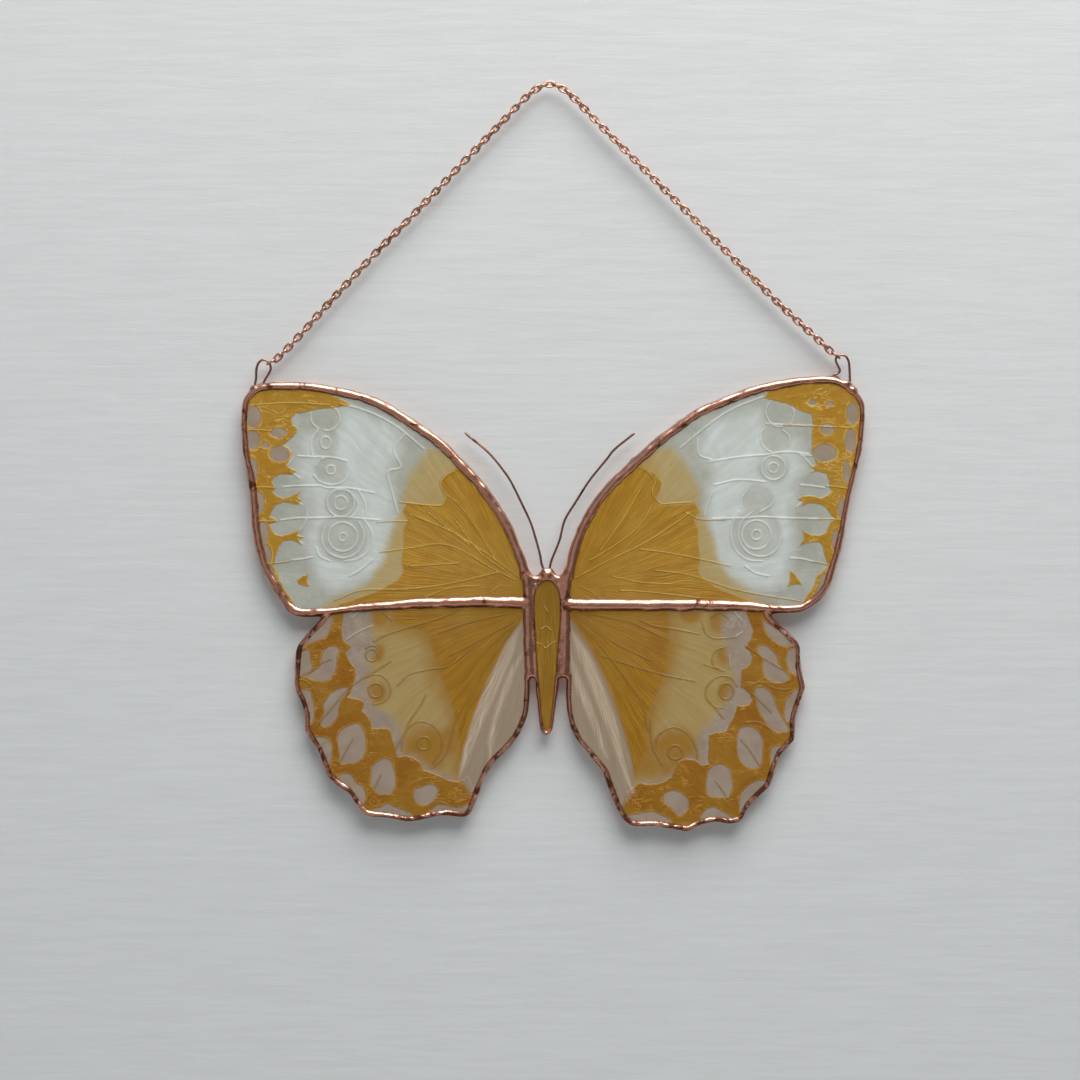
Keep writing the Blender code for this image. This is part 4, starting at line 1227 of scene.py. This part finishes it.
def flat_sheet(outline, lines, step):
    """A bmesh grid over an outline, with its rim on the outline and nearby points moved onto the lines."""
    low, high = outline.min(axis=0), outline.max(axis=0)
    counts = [math.ceil(side / step) for side in (high - low)]
    sheet = bmesh.new()
    bmesh.ops.create_grid(sheet, x_segments=counts[0], y_segments=counts[1], size=0.5)
    flat = np.array([corner.co[:2] for corner in sheet.verts])
    places = low + (flat + 0.5) * np.array(counts) * step
    depth = depth_inside(places, outline)
    nearest = np.full(len(places), LINE_REACH)
    snapped = places.copy()
    for line, _ in lines:
        distance, spot = line_distance(places, line, reach=step)
        closer = (distance < nearest) & (distance < 0.5 * step)
        snapped[closer] = spot[closer]
        nearest = np.minimum(nearest, distance)
    for corner, place in zip(sheet.verts, snapped):
        corner.co = Vector((place[0], 0.0, place[1])) * MILLIMETRE
    gone = [corner for corner, deep in zip(sheet.verts, depth) if deep < 0.3 * step]
    bmesh.ops.delete(sheet, geom=gone, context="VERTS")
    loose = [corner for corner in sheet.verts if not corner.link_faces]
    bmesh.ops.delete(sheet, geom=loose, context="VERTS")
    rim = [corner for corner in sheet.verts if corner.is_boundary]
    rim_places = np.array([(corner.co.x, corner.co.z) for corner in rim]) / MILLIMETRE
    _, spots = line_distance(rim_places, outline, closed=True)
    for corner, spot in zip(rim, spots):
        corner.co = Vector((spot[0], 0.0, spot[1])) * MILLIMETRE
    return sheet


def pane_fields(spots, pattern, white, tinted):
    """How deep each spot of a pane is in each zone and line of its pattern, or how much of it is there."""
    def zone(mark, rounding=None):
        return zone_depth(spots, pattern.get(mark, ()), rounding)

    fields = {"amber": zone("amber"), "fan": zone("fan"), "pale": zone("pale")}
    fields["window"] = np.maximum(zone("window", 0.5), spot_depth(spots, pattern.get("window_spots", ())))
    milk = np.clip(0.5 + zone("milk") / 5.0, 0.0, 1.0)
    for x, y, size in pattern.get("dim_spots", ()):
        (middle,) = plan([(x, y)])
        away = np.linalg.norm(spots - middle, axis=1) - size * PLAN_SQUARE
        milk *= np.clip(0.5 + away / 2.2, 0.35, 1.0)
    glow = np.zeros(len(spots))
    for x, y, size in pattern.get("glow", ()):
        (middle,) = plan([(x, y)])
        share = np.clip(1.6 - 1.6 * np.linalg.norm(spots - middle, axis=1) / (size * PLAN_SQUARE), 0.0, 1.0)
        glow = np.maximum(glow, share * share * (3.0 - 2.0 * share))
    fields.update(milk=milk, glow=glow)
    fields["pearl"] = np.clip(0.5 + zone("pearl") / 1.6, 0.0, 1.0)
    fields["spindle"] = np.clip(0.5 + zone("spindles") / 1.1, 0.0, 1.0)
    fields.update(line=line_depth(spots, white), vein=line_depth(spots, tinted))
    return fields


def pane_relief(spots, fields, root):
    """Height of the lines, the brush marks and the thick paint at each spot of a pane, in metres."""
    ridge = np.clip(0.5 + np.maximum(fields["line"], fields["vein"]) / 0.42, 0.0, 1.0)
    brush = []
    for x, z in spots - np.array(root):
        angle = math.atan2(z, abs(x)) + 0.05 * noise.noise(Vector((x / 9.0, z / 9.0, 3.0)))
        brush.append(noise.noise(Vector((angle * 34.0, math.hypot(x, z) / 16.0, 0.0))))
    relief = ridge * settings("glass").relief
    relief += np.array(brush) * BRUSH_HEIGHT * np.clip(0.4 + fields["amber"], 0.25, 1.0)
    relief += np.clip(fields["amber"] / 0.4, 0.0, 1.0) * PAINT_HEIGHT
    return relief


def make_pane(node, pattern, material, root):
    """A pane whose front face carries the pattern in real relief, and both faces its colour fields."""
    white, tinted = raised_lines(pattern)
    sheet = flat_sheet(pane_outline(node), white + tinted, settings("glass").mesh_step / MILLIMETRE)
    front_y, back_y = (corner.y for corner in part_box(node))
    thickness = back_y - front_y
    bmesh.ops.translate(sheet, vec=(0.0, front_y, 0.0), verts=sheet.verts)
    grown = bmesh.ops.extrude_face_region(sheet, geom=sheet.faces[:])["geom"]
    back = [g for g in grown if isinstance(g, bmesh.types.BMVert)]
    bmesh.ops.translate(sheet, vec=(0.0, thickness, 0.0), verts=back)
    bmesh.ops.recalc_face_normals(sheet, faces=sheet.faces)

    # The front and the back share their spots, so each spot's fields are worked out once
    every = np.array([(corner.co.x, corner.co.z) for corner in sheet.verts]) / MILLIMETRE
    spots, copy_of = np.unique(np.round(every, 4), axis=0, return_inverse=True)
    copy_of = copy_of.ravel()
    fields = pane_fields(spots, pattern, white, tinted)
    relief = pane_relief(spots, fields, root)
    half = front_y + 0.5 * thickness
    for corner, k in zip(sheet.verts, copy_of):
        if corner.co.y < half and not any(face.normal.y > -0.5 for face in corner.link_faces):
            corner.co.y -= relief[k]
    pane = new_object(node.replace("glass", "pane"), sheet, [material])
    store_fields(pane, {name: values[copy_of] for name, values in fields.items()})
    finish_piece(pane, "body_glass" if node == "body_glass" else "wing_glass", BUTTERFLY_BODY, node)


# Chain

def place_link(target, length, width, wire, middle, way, roll, turns=14, sides=6):
    """Adds an oval link at a point of the wings' plane, along a way and rolled about it."""
    angles = np.linspace(0.0, 2 * math.pi, turns, endpoint=False)
    oval = np.stack([np.cos(angles) * (length - wire), np.sin(angles) * (width - wire)], axis=1) / 2
    rings = []
    for point, heading in zip(oval, headings(oval, closed=True)):
        across = (-heading[1], heading[0])
        rings.append([
            Vector((
                point[0] + across[0] * 0.5 * wire * math.cos(a), 0.5 * wire * math.sin(a),
                point[1] + across[1] * 0.5 * wire * math.cos(a),
            ))
            for a in (2 * math.pi * i / sides for i in range(sides))
        ])
    link = sweep(rings, closed=True)
    along = Vector((way[0], 0.0, way[1])).normalized()
    across = Vector((0.0, 1.0, 0.0))
    turn = Matrix((along, across, along.cross(across))).transposed().to_4x4()
    spot = Vector((middle[0], 0.0, middle[1])) * MILLIMETRE
    place = Matrix.Translation(spot) @ (turn @ Matrix.Rotation(roll, 4, "X"))
    bmesh.ops.transform(link, matrix=place, verts=link.verts)
    bmesh.ops.recalc_face_normals(link, faces=link.faces)
    join_shape(target, link)


# Stage

def board_material(wall):
    """White painted board with a faint grain, that is seen from its front only and casts no shadow."""
    paint, make, shader, place = start_material("white_board")
    stretch = make.add("ShaderNodeMapping")
    make.fill(stretch, Vector=place, Scale=(0.09, 1.0, 1.0))
    grain = make.noise(stretch.outputs["Vector"], 420.0, 5.0, 0.65, 0.3)
    make.put(make.mix(make.ramp(grain, 0.3, 0.7), scaled(wall, 0.95), wall), shader.inputs["Base Color"])
    shader.inputs["Roughness"].default_value = 0.6
    make.relief(shader, grain, 0.25, 0.0004)
    see_through = make.add("ShaderNodeBsdfTransparent")
    choice = make.add("ShaderNodeMixShader")
    unseen = make.most(make.add("ShaderNodeNewGeometry").outputs["Backfacing"],
                       make.add("ShaderNodeLightPath").outputs["Is Shadow Ray"])
    make.link(unseen, choice.inputs["Fac"])
    make.link(shader.outputs["BSDF"], choice.inputs[1])
    make.link(see_through.outputs["BSDF"], choice.inputs[2])
    make.link(choice.outputs["Shader"], paint.node_tree.nodes["Material Output"].inputs["Surface"])
    return paint


def add_board(name, size, turn, place, paint):
    board = bmesh.new()
    bmesh.ops.create_grid(board, x_segments=1, y_segments=1, size=size)
    bmesh.ops.transform(board, matrix=Matrix.Rotation(math.radians(turn), 4, "X"), verts=board.verts)
    bmesh.ops.translate(board, vec=place, verts=board.verts)
    return new_object(name, board, [paint])


class BUTTERFLY_OT_stage(bpy.types.Operator):
    """Makes the camera, the wall, the floor and the lights"""
    bl_idname = "butterfly.make_stage"
    bl_label = "Make Stage"

    def execute(self, context):
        stage = settings("stage")
        scene = context.scene
        camera = bpy.data.cameras.new("camera")
        camera.lens = LENS
        camera.sensor_width = SENSOR
        camera.clip_start = 0.01
        viewer = bpy.data.objects.new("camera", camera)
        scene.collection.objects.link(viewer)
        (middle,) = plan([VIEW_MIDDLE])
        distance = stage.view_width * LENS / SENSOR
        viewer.location = (middle[0] * MILLIMETRE, -distance, middle[1] * MILLIMETRE)
        viewer.rotation_euler = (math.radians(90.0), 0.0, 0.0)
        scene.camera = viewer
        scene.view_settings.view_transform = "Standard"

        paint = board_material(stage.wall)
        wall = add_board("wall", 1.0, 90.0, (0.0, stage.wall_gap, 0.1), paint)
        floor = add_board("floor", 1.6, 0.0, (0.0, 0.0, -0.9), paint)

        for name, spot, size, power, colour in LAMPS:
            lamp = bpy.data.lights.new(name, "AREA")
            lamp.size = size
            lamp.energy = power
            lamp.color = colour
            light = bpy.data.objects.new(name, lamp)
            light.location = spot
            light.rotation_euler = (Vector(AIM) - Vector(spot)).to_track_quat("-Z", "Y").to_euler()
            scene.collection.objects.link(light)
        world = bpy.data.worlds.new("studio")
        world.use_nodes = True
        background = world.node_tree.nodes["Background"]
        background.inputs["Color"].default_value = (0.96, 0.98, 1.0, 1.0)
        background.inputs["Strength"].default_value = 0.12
        scene.world = world
        return {"FINISHED"}


class BUTTERFLY_OT_chain(bpy.types.Operator):
    """Makes the chain as separate interlocking links between the two end links"""
    bl_idname = "butterfly.make_chain"
    bl_label = "Make Chain"

    def execute(self, context):
        sizes = settings("chain")
        copper = copper_material("chain_copper", sizes.copper, CHAIN_TARNISH, 0.003, 0.2, (0.2, 0.38))
        route = smooth(CHAIN_ROUTE, 0.4)
        travel = distances(route)
        ways = headings(route)
        pitch = (sizes.link_length - WIRES_PER_PITCH * sizes.link_wire) / MILLIMETRE
        count = round((travel[-1] - 2 * CHAIN_INSET) / pitch)
        count += count % 2
        dice = random.Random(5)
        links = bmesh.new()
        for i, stop in enumerate(np.linspace(CHAIN_INSET, travel[-1] - CHAIN_INSET, count + 1)):
            middle, way = ([np.interp(stop, travel, line[:, k]) for k in (0, 1)] for line in (route, ways))
            roll = math.radians((84.0 if i % 2 else -6.0) + dice.uniform(-11.0, 11.0))
            place_link(links, sizes.link_length, sizes.link_width, sizes.link_wire, middle, way, roll)
        chain = new_object("chain_links", links, [copper])
        finish_piece(chain, "chain_copper", CHAIN_BODY, "chain")

        for side in ("left", "right"):
            way = Vector(CHAIN_WAY[side]).normalized()
            middle = Vector(LOOP_CONTACT[side]) + way * END_LINK_OFFSET
            ring = bmesh.new()
            place_link(ring, middle=middle, way=way, roll=math.radians(90.0), **END_LINK)
            link = new_object(f"end_link_ring_{side}", ring, [copper])
            finish_piece(link, "chain_copper", CHAIN_BODY, f"end_link_{side}")
        return {"FINISHED"}


class BUTTERFLY_OT_solder(bpy.types.Operator):
    """Makes the copper-plated solder round the panes as one fused frame"""
    bl_idname = "butterfly.make_solder"
    bl_label = "Make Solder"

    def execute(self, context):
        metal = settings("solder")
        solder = bmesh.new()
        for edge, seed, side, inner, outer in FOREWING_BEADS:
            line = smooth(edge, BEAD_STEP)
            share = np.linspace(0.0, 1.0, len(line))
            near, far = np.interp(share, *inner) * INNER_SHARE, np.interp(share, *outer) * OUTER_SHARE
            add_bead(solder, line, near, far, 2.35, seed, inside=side, squareness=2.8, ragged=0.14)
        for seam, seed, widths in SEAM_BEADS:
            line = smooth(seam, BEAD_STEP)
            half = np.interp(np.linspace(0.0, 1.0, len(line)), SEAM_SHARES, widths)
            add_bead(solder, line, half, half, 2.7, seed, squareness=2.2, ragged=0.06)
        for runs, seed, side in ((HINDWING_EDGE_LEFT, 51.0, 1.0), (HINDWING_EDGE_RIGHT, 61.0, -1.0)):
            add_bead(solder, smooth_runs(runs, 0.6), 1.1, 0.95, 2.15, seed, inside=side)
        window = smooth(BODY_WINDOW + BODY_WINDOW[:1], BEAD_STEP)[:-1]
        ways = headings(window, closed=True)
        ring = window + np.stack([-ways[:, 1], ways[:, 0]], axis=1) * WINDOW_OFFSET
        add_bead(solder, ring, 0.68, 0.68, 2.25, 71.0, closed=True, ragged=0.15)
        for bar, seed in ((BODY_BAR_LEFT, 81.0), (BODY_BAR_RIGHT, 91.0)):
            add_bead(solder, smooth(bar, BEAD_STEP), 1.95, 1.95, 2.5, seed, squareness=2.2, ragged=0.1)
        for ridge in HEAD_RIDGES:
            line = smooth(ridge, 0.5)
            taper = np.linspace(1.5, 0.95, len(line))
            add_bead(solder, line, taper, taper, np.linspace(2.4, 1.6, len(line)), 101.0, ragged=0.05)
        for middle, radii in SOLDER_BLOBS:
            add_blob(solder, middle, radii)

        fused = remesh("solder", solder, metal.voxel)
        soften(fused, metal.lump_height)
        plate = copper_material("copper_plate", metal.copper, metal.tarnish_shade_colour, 0.0042, 0.15, (0.24, 0.5),
                                bump=0.00012, solder=True)
        places = np.array([corner.co for corner in fused.verts]) / MILLIMETRE
        low = np.clip((-168.0 - places[:, 2]) / 8.0, 0.0, 1.0) * (np.abs(places[:, 0] + 1.8) > 7.5)
        margin = np.clip((np.abs(places[:, 0]) - 90.0) / 4.0, 0.0, 1.0) * (places[:, 2] < -104.0) * 0.3
        piece = new_object("solder_frame", fused, [plate])
        # Each point's up-facing share, read by the plate's material for its painted highlight on the tops and
        # painted shade underneath
        normals = np.empty(3 * len(places), np.float32)
        piece.data.vertex_normals.foreach_get("vector", normals)
        store_fields(piece, {"age": np.maximum(low, margin), "facing": normals[2::3]})
        finish_piece(piece, "copper_solder", BUTTERFLY_BODY, "forewing_rim_left", "forewing_rim_right",
                     "hindwing_rim_left", "hindwing_rim_right", "wing_seam_left", "wing_seam_right",
                     "body_rim")
        return {"FINISHED"}


class BUTTERFLY_OT_wires(bpy.types.Operator):
    """Makes the two antennae and the two hanging loops"""
    bl_idname = "butterfly.make_wires"
    bl_label = "Make Wires"

    def execute(self, context):
        metal = settings("solder")
        radius = 0.5 * metal.wire_diameter / MILLIMETRE
        dark = copper_material(
            "dark_copper_wire", metal.wire_copper, metal.tarnish_shade_colour, 0.006, 0.2, (0.26, 0.45))
        for name, points, node in (
            ("antenna_wire_left", ANTENNA_LEFT, "antenna_left"),
            ("antenna_wire_right", ANTENNA_RIGHT, "antenna_right"),
            ("loop_wire_left", HANGING_LOOP_LEFT, "hanging_loop_left"),
            ("loop_wire_right", HANGING_LOOP_RIGHT, "hanging_loop_right"),
        ):
            line = smooth(points, 0.35)
            radii = radius * (1.0 + 0.05 * wander(line, 2.0, 5.0))
            ends = np.minimum(np.arange(len(line)), np.arange(len(line))[::-1])
            radii = radii * np.where(ends == 0, 0.55, np.where(ends == 1, 0.9, 1.0))
            shape = sweep(wire_rings(line, radii, WIRE_SIDES))
            finish_piece(new_object(name, shape, [dark]), "copper_wire", BUTTERFLY_BODY, node)
        return {"FINISHED"}


class BUTTERFLY_OT_panes(bpy.types.Operator):
    """Makes the four wing panes and the body's pane with their painted patterns"""
    bl_idname = "butterfly.make_panes"
    bl_label = "Make Panes"

    def execute(self, context):
        glass = settings("glass")
        paints = {
            "fore": Paints(glass.forewing_amber, glass.forewing_amber, glass.frost, glass.pale_amber,
                           glass.yellow_vein, fan_edge=0.1, line_strength=0.7),
            "hind": Paints(glass.hindwing_amber, glass.margin_amber, glass.lilac, glass.warm_pale,
                           glass.olive_vein, fan_edge=0.4, line_strength=0.3),
            "body": Paints(glass.body_amber, glass.body_amber, glass.lilac, glass.warm_pale,
                           glass.yellow_vein, fan_edge=0.0, line_strength=0.3),
        }
        for node, pattern, root, look in PANES:
            material = pane_material(node.replace("glass", "paint"), root, paints[look])
            make_pane(node, pattern, material, root)
        return {"FINISHED"}


class BUTTERFLY_PT_panel(bpy.types.Panel):
    """Lists the butterfly's makers and their sizes"""
    bl_label = "Butterfly"
    bl_idname = "BUTTERFLY_PT_panel"
    bl_space_type = "VIEW_3D"
    bl_region_type = "UI"
    bl_category = "Butterfly"

    def draw(self, context):
        for maker in MAKERS:
            self.layout.operator(maker.bl_idname)
        for name, group in SETTINGS.items():
            box = self.layout.box()
            for key in group.__annotations__:
                box.prop(settings(name), key)


SETTINGS = {
    "solder": SolderSettings, "glass": GlassSettings, "chain": ChainSettings, "stage": StageSettings,
}
MAKERS = (
    BUTTERFLY_OT_stage, BUTTERFLY_OT_chain, BUTTERFLY_OT_solder, BUTTERFLY_OT_wires, BUTTERFLY_OT_panes,
)
CLASSES = (*SETTINGS.values(), *MAKERS, BUTTERFLY_PT_panel)


def register():
    for item in CLASSES:
        bpy.utils.register_class(item)
    for name, group in SETTINGS.items():
        setattr(bpy.types.Scene, "butterfly_" + name, PointerProperty(type=group))


def unregister():
    for name in SETTINGS:
        delattr(bpy.types.Scene, "butterfly_" + name)
    for item in reversed(CLASSES):
        bpy.utils.unregister_class(item)


def main():
    register()
    bpy.ops.butterfly.make_stage()
    bpy.ops.butterfly.make_chain()
    bpy.ops.butterfly.make_solder()
    bpy.ops.butterfly.make_wires()
    bpy.ops.butterfly.make_panes()


if __name__ == "__main__":
    main()
